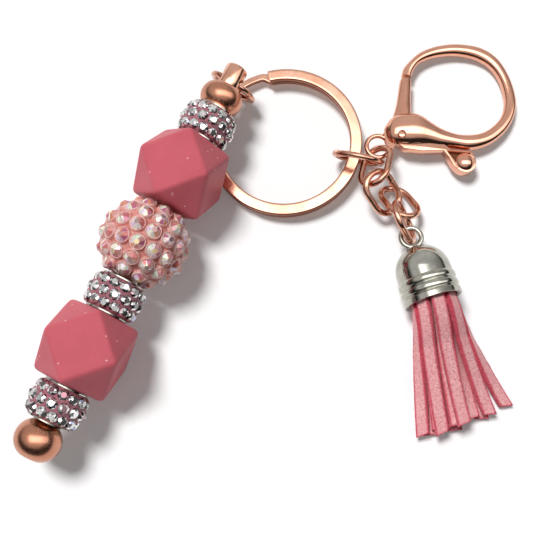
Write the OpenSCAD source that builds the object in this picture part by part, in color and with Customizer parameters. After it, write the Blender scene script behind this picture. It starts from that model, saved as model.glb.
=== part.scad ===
// Wristlet keychain: a beaded bar, a flat split ring, a short chain,
// a lobster claw clasp and a suede tassel, laid out flat on a table.

/* [Key ring] */
// Outer diameter of the flat split ring
ring_od = 29.2; // [26:0.2:34]
// Radial width of the band
band_w = 2.2; // [1.8:0.1:2.6]
// Height of one of the two turns
turn_h = 1.2; // [1:0.1:1.5]
// Width of the wire where it crosses from one turn to the other
jog_w = 1.3; // [1.1:0.1:1.6]

/* [Jump rings] */
// Outer diameter of the jump ring through the bar's post
bar_jump_od = 9.8; // [9.4:0.1:11.8]
// Outer diameter of the jump ring round the band
ring_jump_od = 10; // [9.4:0.1:12]
// Wire diameter of both jump rings
jump_wire = 1.15; // [0.9:0.05:1.3]

/* [Chain] */
// Outer length of a chain link
link_len = 9.4; // [8.8:0.1:11.4]
// Outer width of a chain link
link_w = 6.9; // [6.6:0.1:8.4]
// Wire diameter of a chain link
link_wire = 1.2; // [0.9:0.05:1.3]

/* [Beaded bar] */
// Diameter of the eye post
post_d = 4.2; // [3.8:0.1:5]
// Length of the eye post above the centre of its cross hole
post_top = 2.9; // [2.3:0.1:3.6]
// Diameter of the cross hole
post_hole_d = 2.1; // [1.9:0.1:2.5]
// Diameter of the bar's rod
rod_d = 2.4; // [1.8:0.1:3]
// Diameter of the top ball and of the end ball
ball_d = 8; // [6.5:0.1:9.6]
// Height of the top ball along the bar
ball_h = 4.7; // [3.9:0.1:5.7]
// Running clearance between the rod and a bead, on the radius
bead_play = 0.2; // [0.15:0.05:0.3]
// Gap between neighbours on the rod
bead_gap = 0.12; // [0.08:0.02:0.3]

/* [Beads] */
// Diameter of a crystal rondelle over its clay
rondelle_d = 10.6; // [8.8:0.1:12.8]
// Length of a crystal rondelle along the rod
rondelle_len = 6.6; // [5.5:0.1:8]
// Diameter of one crystal of a rondelle
crystal_d = 1.9; // [1.5:0.1:2.3]
// Distance across opposite square faces of a hexagon bead
hex_flats = 13.6; // [11.2:0.1:16.4]
// Rounding radius of a hexagon bead's edges
hex_round = 1.0; // [0.6:0.1:1.4]
// Diameter of the berry bead's resin ball
berry_d = 15; // [12.5:0.1:18]
// Length of the berry bead along the rod
berry_len = 14.8; // [12.3:0.1:17.8]
// Diameter of one stone of the berry bead
stone_d = 2.85; // [2.4:0.05:3.4]

/* [Clasp] */
// Thickness of the claw's wire
claw_wire = 2.2; // [1.8:0.1:2.6]
// Thickness of the clasp's body where it swells
claw_body_h = 5.3; // [4.6:0.1:6.4]
// Thickness of the lever
lever_h = 2.1; // [1.7:0.1:2.5]
// Clearance between the lever and the slot on each face
lever_play = 0.12; // [0.1:0.02:0.2]
// Diameter of the rivet pin
pin_d = 1.5; // [1.2:0.1:1.8]
// Outer diameter of the tail eye
eye_od = 5.3; // [5.1:0.1:6.4]
// Diameter of the hole in the tail eye
eye_hole = 3.5; // [3.3:0.1:4.2]
// How far the lever opens
lever_travel = 25; // [15:1:26]

/* [Tassel] */
// Diameter of the bell cap at its rim
cap_d = 10.2; // [8.6:0.1:12.2]
// Height of the bell cap without its eye
cap_h = 10.6; // [9:0.1:12.7]
// Wall thickness of the bell cap
cap_wall = 0.5; // [0.4:0.05:0.7]
// Outer diameter of the cap's eye
cap_eye_od = 4.7; // [4.4:0.1:5.6]
// Wire diameter of the cap's eye
cap_eye_wire = 1.0; // [0.8:0.05:1.1]
// Free length of a suede strand below the rim
strand_len = 22.5; // [18:0.5:27]
// Width of a suede strand
strand_w = 2.4; // [2:0.1:2.8]
// Thickness of the suede
strand_t = 1.0; // [0.8:0.1:1.2]

/* [Hidden] */
$fn = 64;

ROSE = [0.78, 0.53, 0.43];
SILVER = [0.72, 0.71, 0.68];
PINK = [0.83, 0.41, 0.45];
CLAY = [0.6, 0.33, 0.37];
CRYSTAL = [0.86, 0.88, 0.9];
RESIN = [0.9, 0.62, 0.6];
SUEDE = [0.88, 0.55, 0.6];

wire_gap = 0.16;          // between two linked wires where they nearly touch
origin_shift = [3.02, 5.1, 0];

// ---------- vectors and frames ----------
function unit(v) = v / norm(v);
// A frame is its three axes; x points along the piece and z is its normal.
function frame(x, z) =
    let (n = unit(z), l = unit(x - (x * n) * n)) [l, cross(n, l), n];
function turned(f, p) = f[0] * p[0] + f[1] * p[1] + f[2] * p[2];
module place(c, f) {
    translate(c - origin_shift)
        multmatrix([for (i = [0:2]) [f[0][i], f[1][i], f[2][i], 0]])
            children();
}

// ---------- outlines of wires ----------
// A point on the centreline of an oval link, on the arc of end +1 or -1.
function oval_point(end, a) =
    let (r = (link_w - link_wire) / 2, s = (link_len - link_w) / 2)
    [end * s + r * cos(a), r * sin(a), 0];
function ring_point(od, wire, a) = (od - wire) / 2 * [cos(a), sin(a), 0];

module torus(od, wire) {
    rotate_extrude()
        translate([(od - wire) / 2, 0]) circle(d = wire, $fn = 32);
}
module oval_link() {
    r = (link_w - link_wire) / 2;
    s = (link_len - link_w) / 2;
    for (end = [0, 180]) rotate([0, 0, end]) {
        translate([s, 0, 0]) rotate([0, 0, -90])
            rotate_extrude(angle = 180)
                translate([r, 0]) circle(d = link_wire, $fn = 32);
        translate([-s, r, 0]) rotate([0, 90, 0])
            cylinder(d = link_wire, h = 2 * s, $fn = 32);
    }
}

// ---------- layout: key ring and its jump ring ----------
band_mid = (ring_od - band_w) / 2;
ring_jump_angle = -17;       // where the jump ring sits on the band
ring_jump_out = 0.9;         // how far its centre lies outside the band's middle
ring_jump_axes = frame([0.98, -0.2, -0.1], [0.21, 0.94, 0.25]);
ring_jump_inner = ring_jump_od / 2 - jump_wire;
ring_jump_slope = norm([ring_jump_axes[2][0], ring_jump_axes[2][1]]);
ring_jump_half = (ring_jump_od - jump_wire) / 2 * ring_jump_slope + jump_wire / 2;
// How far the band's lower face lies below the jump ring's centre.
ring_jump_drop = ring_jump_slope
    * sqrt(pow(ring_jump_inner - wire_gap, 2) - pow(band_w / 2 + ring_jump_out, 2));
// The ring lies on the table and on the two jump rings that pass under it.
ring_rise = (ring_jump_half - ring_jump_drop)
    / (ring_od / 2 + band_mid * cos(ring_jump_angle));
ring_pitch = 0.014;
ring_axes = frame([1, 0, ring_rise], [-ring_rise, -ring_pitch, 1]);
ring_c = [3.5, 24.3, turn_h + ring_od / 2 * norm([ring_rise, ring_pitch])];
ring_jump_c =
    ring_c + turned(ring_axes, (band_mid + ring_jump_out)
        * [cos(ring_jump_angle), sin(ring_jump_angle), 0]
        + [0, 0, ring_jump_drop - turn_h]);

// ---------- layout: the wire's crossing and the bar ----------
jog_from = 103;              // the upper turn ends here
jog_to = 146;                // the lower turn ends here
jog_bulge = 0.75;            // how far the crossing bows outwards
jog_at = 132;                // where the bar's jump ring hangs
jog_r = band_mid + jog_bulge;
jog_c = ring_c + turned(ring_axes, [
    jog_r * cos(jog_at), jog_r * sin(jog_at),
    turn_h * ((jog_at - jog_from) / (jog_to - jog_from) - 0.5)]);
bar_jump_r = (bar_jump_od - jump_wire) / 2;
bar_jump_axes = frame([-0.83, 0.55, 0], [0.547, 0.816, 0.187]);
// The crossing wire lies inside the jump ring's lower side,
// and the post hangs on its upper side.
bar_jump_c = jog_c + (bar_jump_r - jump_wire / 2 - turn_h / 2 - wire_gap)
    * bar_jump_axes[1];
hole_side = -2;              // angle of the post past the jump ring's top
hole_drop = 0.38;            // the hole's axis lies this far inside the ring's wire
hole_c = bar_jump_c + turned(bar_jump_axes,
    (bar_jump_r - hole_drop) * [sin(hole_side), cos(hole_side), 0]);

// ---------- stations along the bar, from the cross hole ----------
ball_from = post_hole_d / 2 + 0.65;
ball_to = ball_from + ball_h;
lengths = [rondelle_len, hex_flats, berry_len, rondelle_len, hex_flats, rondelle_len];
function station(i) = ball_to + bead_gap
    + (i == 0 ? 0 : station(i - 1) - ball_to + lengths[i - 1]);
end_from = station(6);

// The bar is pitched so that the upper hexagon bead clears the ring as it spins.
bar_flat = unit([-31.85, -65.4, 0]);
hex_at = station(1) + hex_flats / 2;
hex_half = hex_flats / 2;
spin_gap = 0.15;
function hex_reach(a) = abs(a) > hex_half ? 0
    : sqrt(pow(hex_half, 2) + pow(hex_half - abs(a), 2)) - hex_round * 0.25 + spin_gap;
hex_lift = max([for (t = [100:2:260])
    let (p = ring_c + turned(ring_axes, [ring_od / 2 * cos(t), ring_od / 2 * sin(t), turn_h])
            - hole_c,
        a = p[0] * bar_flat[0] + p[1] * bar_flat[1] - hex_at,
        u = p[0] * bar_flat[1] - p[1] * bar_flat[0],
        r = hex_reach(a))
    p[2] + (r > abs(u) ? sqrt(r * r - u * u) : 0)]);
bar_axis = unit(bar_flat * hex_at + [0, 0, hex_lift]);
// x runs across the bar along the cross hole, z along the bar
bar_axes = frame(cross([0, 0, 1], bar_axis) * -1, bar_axis);
module on_bar(at = 0, roll = 0) {
    place(hole_c, bar_axes) translate([0, 0, at]) rotate([0, 0, roll]) children();
}

// ---------- layout: chain ----------
link_axes = [
    frame([0.23, 0.94, -0.25], [-0.61, 0.34, 0.72]),
    frame([0.56, -0.68, -0.47], [0.43, -0.25, 0.87]),
    frame([0.44, -0.78, 0.44], [0.21, 0.57, 0.8]),
    frame([0.49, -0.56, -0.67], [0.87, 0.23, 0.44])];
clasp_axes = frame([1, 0, -0.05], [0.05, 0.045, 1]);
tassel_way = unit([0.27, -0.963, 0]);
function tassel_pitched(rise) =
    frame(tassel_way + [0, 0, rise], [0, 0, 1] - rise * tassel_way);
// Each child hangs on its parent: the parent's contact point, the way across
// to the child's centreline, and the child's own contact point.
function hung(parent_c, parent_f, parent_p, dir, gap, child_f, child_p) =
    parent_c + turned(parent_f, parent_p) + unit(dir) * gap - turned(child_f, child_p);
jump_to_link = (jump_wire + link_wire) / 2 + wire_gap;
link_to_link = link_wire + wire_gap;
link_1_c = hung(ring_jump_c, ring_jump_axes, ring_point(ring_jump_od, jump_wire, 60),
    [-0.16, 0.26, 0.95], jump_to_link, link_axes[0], oval_point(1, 66));
link_2_c = hung(link_1_c, link_axes[0], oval_point(-1, 176),
    [-0.655, 0.02, 0.756], link_to_link, link_axes[1], oval_point(-1, 215));
link_3_c = hung(link_2_c, link_axes[1], oval_point(1, -43),
    [0.39, 0.565, 0.727], link_to_link + 0.3, link_axes[2], oval_point(1, -101));
link_4_c = hung(link_3_c, link_axes[2], oval_point(1, -90),
    [0.75, 0.57, 0.34], link_to_link + 0.15, link_axes[3], oval_point(-1, 129));
function cap_eye_at(axes) = hung(link_4_c, link_axes[3], oval_point(1, -66),
    [-0.395, -0.914, 0.096], (link_wire + cap_eye_wire) / 2 + wire_gap, axes,
    ring_point(cap_eye_od, cap_eye_wire, 320));
// The tassel's axis rises from its eye until the rim rests on the table.
cap_from = cap_eye_od / 2 - 0.5;
rim_r = cap_d / 2 + 0.2;
tassel_axes = tassel_pitched((rim_r + 0.35 - cap_eye_at(tassel_pitched(0))[2])
    / (cap_from + cap_h));
cap_eye_c = cap_eye_at(tassel_axes);
eye_bar = (eye_od - eye_hole) / 2;
eye_c = hung(link_1_c, link_axes[0], oval_point(1, 43),
    [-0.28, -0.12, 0.95], (link_wire + eye_bar) / 2 + wire_gap, clasp_axes,
    (eye_od - eye_bar) / 2 * [cos(214), sin(214), 0]);

// ---------- key ring ----------
edge_r = 0.3;
// One turn's section: a rectangle with round corners.
module band_section(w, h) {
    square([w, h - 2 * edge_r], center = true);
    square([w - 2 * edge_r, h], center = true);
    for (x = [-1, 1], y = [-1, 1])
        translate([x * (w / 2 - edge_r), y * (h / 2 - edge_r)]) circle(r = edge_r, $fn = 24);
}
module turn_arc(from, to, w, r) {
    rotate([0, 0, from]) rotate_extrude(angle = to - from, $fn = 180)
        translate([r, 0]) band_section(w, turn_h);
}
module key_ring() {
    jog_span = jog_to - jog_from;
    jog_mid = (jog_to + jog_from) / 2;
    jog_slope = atan(turn_h / (2 * jog_r * sin(jog_span / 2)));
    color(ROSE) place(ring_c, ring_axes) {
        translate([0, 0, turn_h / 2]) turn_arc(jog_to - 360, jog_from, band_w, band_mid);
        translate([0, 0, -turn_h / 2]) turn_arc(jog_to - 360, jog_from, band_w, band_mid);
        rotate([0, 0, jog_mid]) translate([jog_r, 0, 0]) rotate([jog_slope, 0, 0])
            translate([-jog_r, 0, 0])
                turn_arc(-jog_span / 2 - 3, jog_span / 2 + 3, jog_w, jog_r);
    }
}

// ---------- jump rings and chain links ----------
module bar_jump_ring() {
    color(ROSE) place(bar_jump_c, bar_jump_axes) torus(bar_jump_od, jump_wire);
}
module ring_jump_ring() {
    color(ROSE) place(ring_jump_c, ring_jump_axes) torus(ring_jump_od, jump_wire);
}
module chain_link_1() { color(ROSE) place(link_1_c, link_axes[0]) oval_link(); }
module chain_link_2() { color(ROSE) place(link_2_c, link_axes[1]) oval_link(); }
module chain_link_3() { color(ROSE) place(link_3_c, link_axes[2]) oval_link(); }
module chain_link_4() { color(ROSE) place(link_4_c, link_axes[3]) oval_link(); }

// ---------- bar ----------
post_chamfer = 0.3;
module eye_post() {
    color(ROSE) on_bar() difference() {
        union() {
            translate([0, 0, -post_top]) cylinder(d1 = post_d - 2 * post_chamfer,
                d2 = post_d, h = post_chamfer);
            translate([0, 0, post_chamfer - post_top])
                cylinder(d = post_d, h = post_top + ball_from - post_chamfer);
        }
        rotate([0, 90, 0]) cylinder(d = post_hole_d, h = 2 * post_d, center = true);
    }
}
// A flattened ball standing on the origin, bored from one height to another.
module flat_ball(d, h, bore, bore_from, bore_to) {
    round_r = max(0.36 * d, 0.535 * h);
    difference() {
        translate([0, 0, h / 2]) rotate_extrude() intersection() {
            translate([d / 2 - round_r, 0]) circle(r = round_r);
            translate([0, -h / 2]) square([d, h]);
        }
        translate([0, 0, bore_from]) cylinder(d = bore, h = bore_to - bore_from);
    }
}
lip_d = 6.6;
lip_h = 0.4;
module top_ball() {
    color(ROSE) on_bar(ball_from) {
        flat_ball(ball_d, ball_h - lip_h, rod_d, rod_sink, ball_h);
        translate([0, 0, ball_h - lip_h]) difference() {
            cylinder(d = lip_d, h = lip_h);
            translate([0, 0, -1]) cylinder(d = rod_d, h = lip_h + 2);
        }
    }
}
rod_sink = 1.5;              // the rod starts this deep in the top ball
thread_len = 3.6;
module bar_rod() {
    color(ROSE) on_bar(ball_from + rod_sink)
        cylinder(d = rod_d, h = end_from + thread_len - ball_from - rod_sink, $fn = 32);
}
end_len = 6.4;
thread_play = 0.05;
module end_ball() {
    color(ROSE) on_bar(end_from) difference() {
        flat_ball(ball_d + 0.2, end_len, rod_d + 2 * thread_play, -1, thread_len + 0.3);
        translate([0, 0, end_len - 0.15]) cylinder(d = 2.8, h = 1);
    }
}

// ---------- crystal rondelles ----------
core_wall = 0.35;
core_d = rod_d + 2 * (bead_play + core_wall);
flare_d = 7.8;
flare_h = 0.3;
rows = 3;
row_step = crystal_d * 1.02;
// Radius of the clay's barrel at a height from its middle.
barrel_h = rondelle_len - 2 * flare_h;
function barrel_r(z) = rondelle_d / 2 - crystal_h + crystal_sink
    - 0.9 * pow(z / (barrel_h / 2), 2);
function per_row() = floor(180 / asin(crystal_d * 1.03 / (2 * barrel_r(row_step))));
module each_crystal() {
    for (row = [0:rows - 1], k = [0:per_row() - 1]) {
        z = (row - (rows - 1) / 2) * row_step;
        a = (k + row / 2) * 360 / per_row();
        rotate([0, 0, a]) translate([barrel_r(z) - 0.03, 0, z])
            rotate([0, 90 - z * 12 / row_step, 0]) children();
    }
}
// A stone: a narrow foot below its girdle at height 0 and a table above it.
module gem(d, sink, h) {
    rotate_extrude($fn = 24)
        polygon([[0, -sink], [0.34 * d, -sink], [0.5 * d, 0], [0.3 * d, h - sink],
            [0, h - sink]]);
}
module gem_pocket(d, sink) {
    translate([0, 0, -sink]) cylinder(r1 = 0.34 * d, r2 = 0.5 * d, h = sink, $fn = 24);
    cylinder(r = 0.5 * d, h = 1.2, $fn = 24);
}
crystal_sink = 0.45;
crystal_h = 0.9;
module crystal_core() {
    color(SILVER) difference() {
        union() {
            cylinder(d = core_d, h = rondelle_len);
            cylinder(d = flare_d, h = flare_h);
            translate([0, 0, rondelle_len - flare_h]) cylinder(d = flare_d, h = flare_h);
        }
        translate([0, 0, -1]) cylinder(d = rod_d + 2 * bead_play, h = rondelle_len + 2);
    }
}
module crystal_clay() {
    half = barrel_h / 2;
    color(CLAY) translate([0, 0, rondelle_len / 2]) difference() {
        rotate_extrude() polygon(concat(
            [[core_d / 2, -half], [flare_d / 2, -half]],
            [for (z = [-half:half / 6:half + 0.01]) [barrel_r(z), z]],
            [[flare_d / 2, half], [core_d / 2, half]]));
        each_crystal() gem_pocket(crystal_d, crystal_sink);
    }
}
module crystal_stones() {
    color(CRYSTAL) translate([0, 0, rondelle_len / 2])
        each_crystal() gem(crystal_d, crystal_sink, crystal_h);
}
module crystal_bead_1_core() { on_bar(station(0), 5) crystal_core(); }
module crystal_bead_1_clay() { on_bar(station(0), 5) crystal_clay(); }
module crystal_bead_1_stones() { on_bar(station(0), 5) crystal_stones(); }
module crystal_bead_2_core() { on_bar(station(3), 14) crystal_core(); }
module crystal_bead_2_clay() { on_bar(station(3), 14) crystal_clay(); }
module crystal_bead_2_stones() { on_bar(station(3), 14) crystal_stones(); }
module crystal_bead_3_core() { on_bar(station(5), -4) crystal_core(); }
module crystal_bead_3_clay() { on_bar(station(5), -4) crystal_clay(); }
module crystal_bead_3_stones() { on_bar(station(5), -4) crystal_stones(); }

// ---------- hexagon beads ----------
// Six square and eight triangular faces: the hull of twelve small balls.
module hex_bead() {
    c = hex_half - hex_round;
    color(PINK) translate([0, 0, hex_half]) difference() {
        hull() for (s = [-c, c], t = [-c, c]) {
            translate([s, t, 0]) sphere(r = hex_round, $fn = 20);
            translate([s, 0, t]) sphere(r = hex_round, $fn = 20);
            translate([0, s, t]) sphere(r = hex_round, $fn = 20);
        }
        cylinder(d = rod_d + 2 * bead_play, h = 2 * hex_flats, center = true);
    }
}
module hex_bead_upper() { on_bar(station(1), 6) hex_bead(); }
module hex_bead_lower() { on_bar(station(4), -4) hex_bead(); }

// ---------- berry bead ----------
stone_sink = 0.45;
stone_h = 1.2;
stone_row = 2 * asin(stone_d * 1.02 / berry_d);      // angle between rows of stones
module each_stone() {
    last = floor(acos((rod_d / 2 + bead_play + stone_d * 0.62) / (berry_d / 2)) / stone_row - 0.5);
    for (row = [-last - 1:last]) {
        lat = (row + 0.5) * stone_row;
        n = floor(180 / asin(min(1, stone_d * 1.03 / (berry_d * cos(lat)))));
        for (k = [0:n - 1])
            rotate([0, 0, (k + row / 2) * 360 / n]) rotate([0, 90 - lat, 0])
                translate([0, 0, berry_d / 2 - 0.06]) children();
    }
}
module berry_bead_ball() {
    color(RESIN) on_bar(station(2) + berry_len / 2) difference() {
        intersection() {
            sphere(d = berry_d);
            cylinder(d = 2 * berry_d, h = berry_len, center = true);
        }
        cylinder(d = rod_d + 2 * bead_play, h = 2 * berry_len, center = true);
        each_stone() gem_pocket(stone_d, stone_sink);
    }
}
module berry_bead_stones() {
    color(RESIN) on_bar(station(2) + berry_len / 2)
        each_stone() gem(stone_d, stone_sink, stone_h);
}

// ---------- clasp ----------
// The clasp's own frame has its rivet at the origin, x along the body.
eye_at = [-4.15, -1.65];     // centre of the tail eye from the rivet
clasp_c = eye_c - turned(clasp_axes, [eye_at[0], eye_at[1], 0]);
// Stations of the claw from its tip round the loop and through the body:
// the outer edge, the inner edge and half the height.
wr = claw_wire / 2;
br = claw_body_h / 2;
claw = [
    [0.95, 13.15, 2.88, 12.95, 0.9 * wr], [1.45, 14.85, 3.3, 14.2, 0.95 * wr],
    [2.9, 16.6, 4.4, 15.75, wr], [5.0, 18.4, 6.2, 16.85, wr],
    [8.4, 19.8, 8.9, 17.65, wr], [12.6, 20.3, 12.2, 17.9, 1.05 * wr],
    [16.9, 19.6, 15.7, 17.2, 1.05 * wr], [20.1, 17.3, 18.5, 15.4, 1.05 * wr],
    [22.2, 13.3, 20.2, 12.4, 1.02 * wr], [23.1, 8.8, 20.8, 8.9, 1.02 * wr],
    [22.6, 5.4, 20.4, 6.1, 1.02 * wr], [20.9, 2.3, 19.3, 4.1, 1.05 * wr],
    [18.4, -0.1, 17.3, 2.25, 1.1 * wr], [15.9, -1.45, 15.2, 1.25, 1.2 * wr],
    [13.0, -2.05, 12.7, 0.98, 1.3 * wr], [10.3, -1.8, 10.5, 1.2, 0.58 * br],
    [7.6, -1.7, 7.9, 2.2, 0.7 * br], [5.5, -1.5, 6.0, 3.45, 0.82 * br],
    [3.6, -1.6, 4.4, 4.6, 0.94 * br], [1.9, -1.75, 2.8, 5.2, br],
    [0.5, -1.7, 1.2, 5.1, br], [-0.8, -1.5, -0.2, 4.85, 0.93 * br],
    [-1.9, -1.1, -1.35, 4.3, 0.76 * br], [-2.55, -0.2, -2.2, 3.2, 0.48 * br],
    [-2.9, 0.9, -2.75, 2.3, 0.2 * br]];
// A smooth curve through four neighbours at a share t of the middle stretch.
function through(p0, p1, p2, p3, t) = 0.5 * (2 * p1 + (p2 - p0) * t
    + (2 * p0 - 5 * p1 + 4 * p2 - p3) * t * t + (3 * p1 - p0 - 3 * p2 + p3) * t * t * t);
function smooth(list, steps) =
    let (m = len(list) - 1) [for (i = [0:m - 1], k = [0:steps - 1])
        through(list[max(i - 1, 0)], list[i], list[i + 1], list[min(i + 2, m)], k / steps),
        list[m]];
// A full oval between two edge points: its corners are squarer than an ellipse's.
function fuller(v) = sign(v) * pow(abs(v), 0.8);
function ovals(path, sides) = [for (p = path) [for (k = [0:sides - 1])
    let (c = fuller(cos(k * 360 / sides)), s = fuller(sin(k * 360 / sides)))
    [(p[0] + p[2]) / 2 + (p[2] - p[0]) / 2 * c, (p[1] + p[3]) / 2 + (p[3] - p[1]) / 2 * c,
        p[4] * s]]];
// Rings of points round a path in space that coils about the z axis.
function tube(path, r, sides) = [for (i = [0:len(path) - 1])
    let (t = unit(path[min(i + 1, len(path) - 1)] - path[max(i - 1, 0)]),
        n = unit(cross(t, [0, 0, 1])), b = cross(n, t))
    [for (k = [0:sides - 1]) path[i] + r * (n * cos(k * 360 / sides) + b * sin(k * 360 / sides))]];
module skin(r) {
    n = len(r[0]);
    m = len(r);
    polyhedron([for (row = r) each row], concat(
        [for (i = [0:m - 2], k = [0:n - 1]) [i * n + k, i * n + (k + 1) % n, (i + 1) * n + k]],
        [for (i = [0:m - 2], k = [0:n - 1])
            [i * n + (k + 1) % n, (i + 1) * n + (k + 1) % n, (i + 1) * n + k]],
        [[for (k = [n - 1:-1:0]) k]],
        [[for (k = [0:n - 1]) (m - 1) * n + k]]));
}
slot_h = lever_h + 2 * lever_play;
hub_r = 1.35;
// The space the lever needs in the middle of the body while it opens.
module slot_outline() {
    circle(r = hub_r + 0.15);
    polygon([[-1.25, 0.8], [-1.9, 5.2], [-1.5, 7.5], [4.2, 7.5], [5.9, 4.8],
        [5.6, 3.6], [3.5, 0.9], [7.9, -0.5], [8.7, -1.2], [9.6, -2.2], [13.9, -2.5], [13.9, -5],
        [0, -5], [-0.9, -1.2]]);
}
// The spring lies on the thinner hub of the lever, under the slot's upper face.
spring_r = 0.98;
spring_wire = 0.3;
spring_step = 0.32;          // rise of one coil
coils = 1.05;
hub_top = slot_h / 2 - spring_step * coils - spring_wire - 0.09;
module clasp_body() {
    color(ROSE) place(clasp_c, clasp_axes) difference() {
        union() {
            skin(ovals(smooth(claw, 3), 14));
            translate(eye_at) eye_rim();
            linear_extrude(1.5, center = true)
                polygon([[-3.2, 0.9], [-2.1, 1.2], [-1.2, 0.9], [-0.9, -1.4], [-1.5, -2.3],
                    [-2.3, -2.0]]);
        }
        linear_extrude(slot_h, center = true) slot_outline();
        cylinder(d = pin_d, h = 2 * claw_body_h, center = true);
        translate(eye_at) cylinder(d = eye_hole, h = 4, center = true);
    }
}
module eye_rim() {
    rotate_extrude() translate([(eye_od - eye_bar) / 2, 0]) circle(d = eye_bar, $fn = 32);
}
// The lever: gate, hub, arm and thumb button.
gate = [
    [2.75, 12.3, 0.75, 12.45, 0.85 * wr], [2.8, 11.5, 0.5, 11.6, 0.9 * wr],
    [2.62, 9.6, 0.15, 9.6, 0.9 * wr], [2.5, 7.4, -0.25, 7.4, 0.9 * wr],
    [2.45, 5.8, -0.65, 5.9, 0.9 * wr], [2.2, 3.6, -1.1, 4.2, 0.9 * wr],
    [1.6, 1.6, -1.0, 1.8, 0.9 * wr], [0.9, 0.4, -0.8, 0.5, 0.9 * wr]];
button_c = [12.05, -4.85];
button_r = 2.1;
module clasp_lever() {
    color(ROSE) place(clasp_c, clasp_axes) difference() {
        union() {
            skin(ovals(smooth(gate, 3), 16));
            linear_extrude(lever_h, center = true) {
                circle(r = hub_r);
                polygon([[-0.6, -1.15], [0.6, -2.3], [4, -2.75], [8.1, -2.55],
                    [9.0, -3.9], [9.75, -5.5], [10.6, -6.4], [12.2, -4.9], [14.0, -4.1],
                    [13.5, -2.6], [9.5, -2.35], [8.4, -1.35], [7.7, -0.75], [2, 0.95],
                    [0.5, 1.25]]);
                translate(button_c) circle(r = button_r);
            }
            translate(button_c) cylinder(r = button_r - 0.25, h = lever_h / 2 + 0.3);
        }
        cylinder(d = pin_d + 0.1, h = 2 * lever_h, center = true);
        translate([0, 0, hub_top]) cylinder(r = hub_r + 0.05, h = lever_h);
    }
}
module clasp_pin() {
    color(ROSE) place(clasp_c, clasp_axes)
        cylinder(d = pin_d, h = claw_body_h - 0.7, center = true);
}
// A torsion spring round the pin.
module clasp_spring() {
    from = hub_top + spring_wire / 2 + 0.05;
    color(SILVER) place(clasp_c, clasp_axes)
        skin(tube([for (a = [0:15:360 * coils])
            [spring_r * cos(a), spring_r * sin(a), from + spring_step * a / 360]],
            spring_wire / 2, 8));
}

// ---------- tassel ----------
// The tassel's frame has its eye's centre at the origin and x down its axis.
module on_tassel() {
    place(cap_eye_c, tassel_axes) children();
}
// Outer radius of the bell at a height below its top.
function bell_r(x) = let (r = cap_d / 2 - 0.1)
    x < r ? sqrt(r * r - pow(r - x, 2)) : r + 0.1 * (x - r) / (cap_h - r);
rib_r = 0.45;
function rib_at(x) = bell_r(x) - (rib_r - rim_r + cap_d / 2);
module tassel_cap() {
    color(SILVER) on_tassel() {
        torus(cap_eye_od, cap_eye_wire);
        translate([cap_from, 0, 0]) rotate([0, 90, 0]) {
            difference() {
                union() {
                    rotate_extrude() polygon(concat([[0, 0.15]],
                        [for (x = [0.15:0.45:cap_h]) [bell_r(x), x]],
                        [[bell_r(cap_h), cap_h], [0, cap_h]]));
                    for (x = [cap_h - 3.4, cap_h - 1.9, cap_h - 0.45])
                        translate([0, 0, x]) rotate_extrude()
                            translate([rib_at(x), 0]) circle(r = rib_r, $fn = 24);
                }
                translate([0, 0, 2.2]) cylinder(d = cap_d - 2.6, h = cap_h);
                translate([0, 0, band_from]) cylinder(d = cap_d - 0.5 - 2 * cap_wall, h = cap_h);
            }
        }
    }
}
band_from = 4.6;             // depth of the rolled band's seat below the cap's top
module tassel_band() {
    color(SUEDE) on_tassel() translate([cap_from + band_from + 0.1, 0, 0]) rotate([0, 90, 0])
        cylinder(d = cap_d - 0.7 - 2 * cap_wall, h = cap_h - in_cap - band_from - 0.2);
}
// A strand runs from a place in the cap to a place on the table: it starts across
// the axis at y, z with its face turned by a roll, and ends likewise.
in_cap = 2.2;
strand_from = cap_from + cap_h - in_cap;
function strand_at(s, t) = let (
        long = strand_len * s[6] + in_cap,
        u = max(0, long * t - in_cap) / (long - in_cap),
        y = s[0] + (s[3] - s[0]) * pow(u, 1.15),
        z = s[1] + (s[4] - s[1]) * (1 - pow(1 - u, 1.6)) * min(1, u * 3))
    [strand_from + long * t, y, z, s[2] + (s[5] - s[2]) * u];
module strand(s) {
    n = 10;
    w = strand_w / 2;
    h = strand_t / 2;
    skin([for (i = [0:n]) let (p = strand_at(s, i / n), c = cos(p[3]), d = sin(p[3]))
        [for (q = [[-w, -h], [w, -h], [w, h], [-w, h]])
            [p[0], p[1] + q[0] * c - q[1] * d, p[2] + q[0] * d + q[1] * c]]]);
}
// The outer ring of strands lies against the cap's wall, the inner ones in its middle.
outer_r = cap_d / 2 - 0.25 - cap_wall - strand_t / 2 - 0.35;
outer_ends = [
    [7.6, -6.35, 172, 0.93], [4.0, -5.22, 175, 0.96], [-1.35, -3.2, 180, 0.98],
    [-5.35, -4.15, 180, 1], [-8.5, -5.4, 195, 0.97], [-7.0, -6.55, 360, 0.98],
    [-2.5, -6.5, 360, 1], [2.75, -6.55, 360, 0.97]];
inner_ends = [
    [0, 0.65, 0, -2.4, -4.3, 0, 0.97], [0, -0.65, 0, -2.6, -5.35, 0, 0.98],
    [-1.9, 0.1, 90, -5.5, -5.2, 0, 0.96], [1.87, 0.05, 90, 0.95, -5.3, 175, 0.95]];
module tassel_strands_outer() {
    color(SUEDE) on_tassel() for (k = [0:7]) let (e = outer_ends[k])
        strand([outer_r * cos(45 * k), outer_r * sin(45 * k), 45 * k + 90,
            e[0], e[1], e[2], e[3]]);
}
module tassel_strands_inner() {
    color(SUEDE) on_tassel() for (e = inner_ends) strand(e);
}

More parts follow.
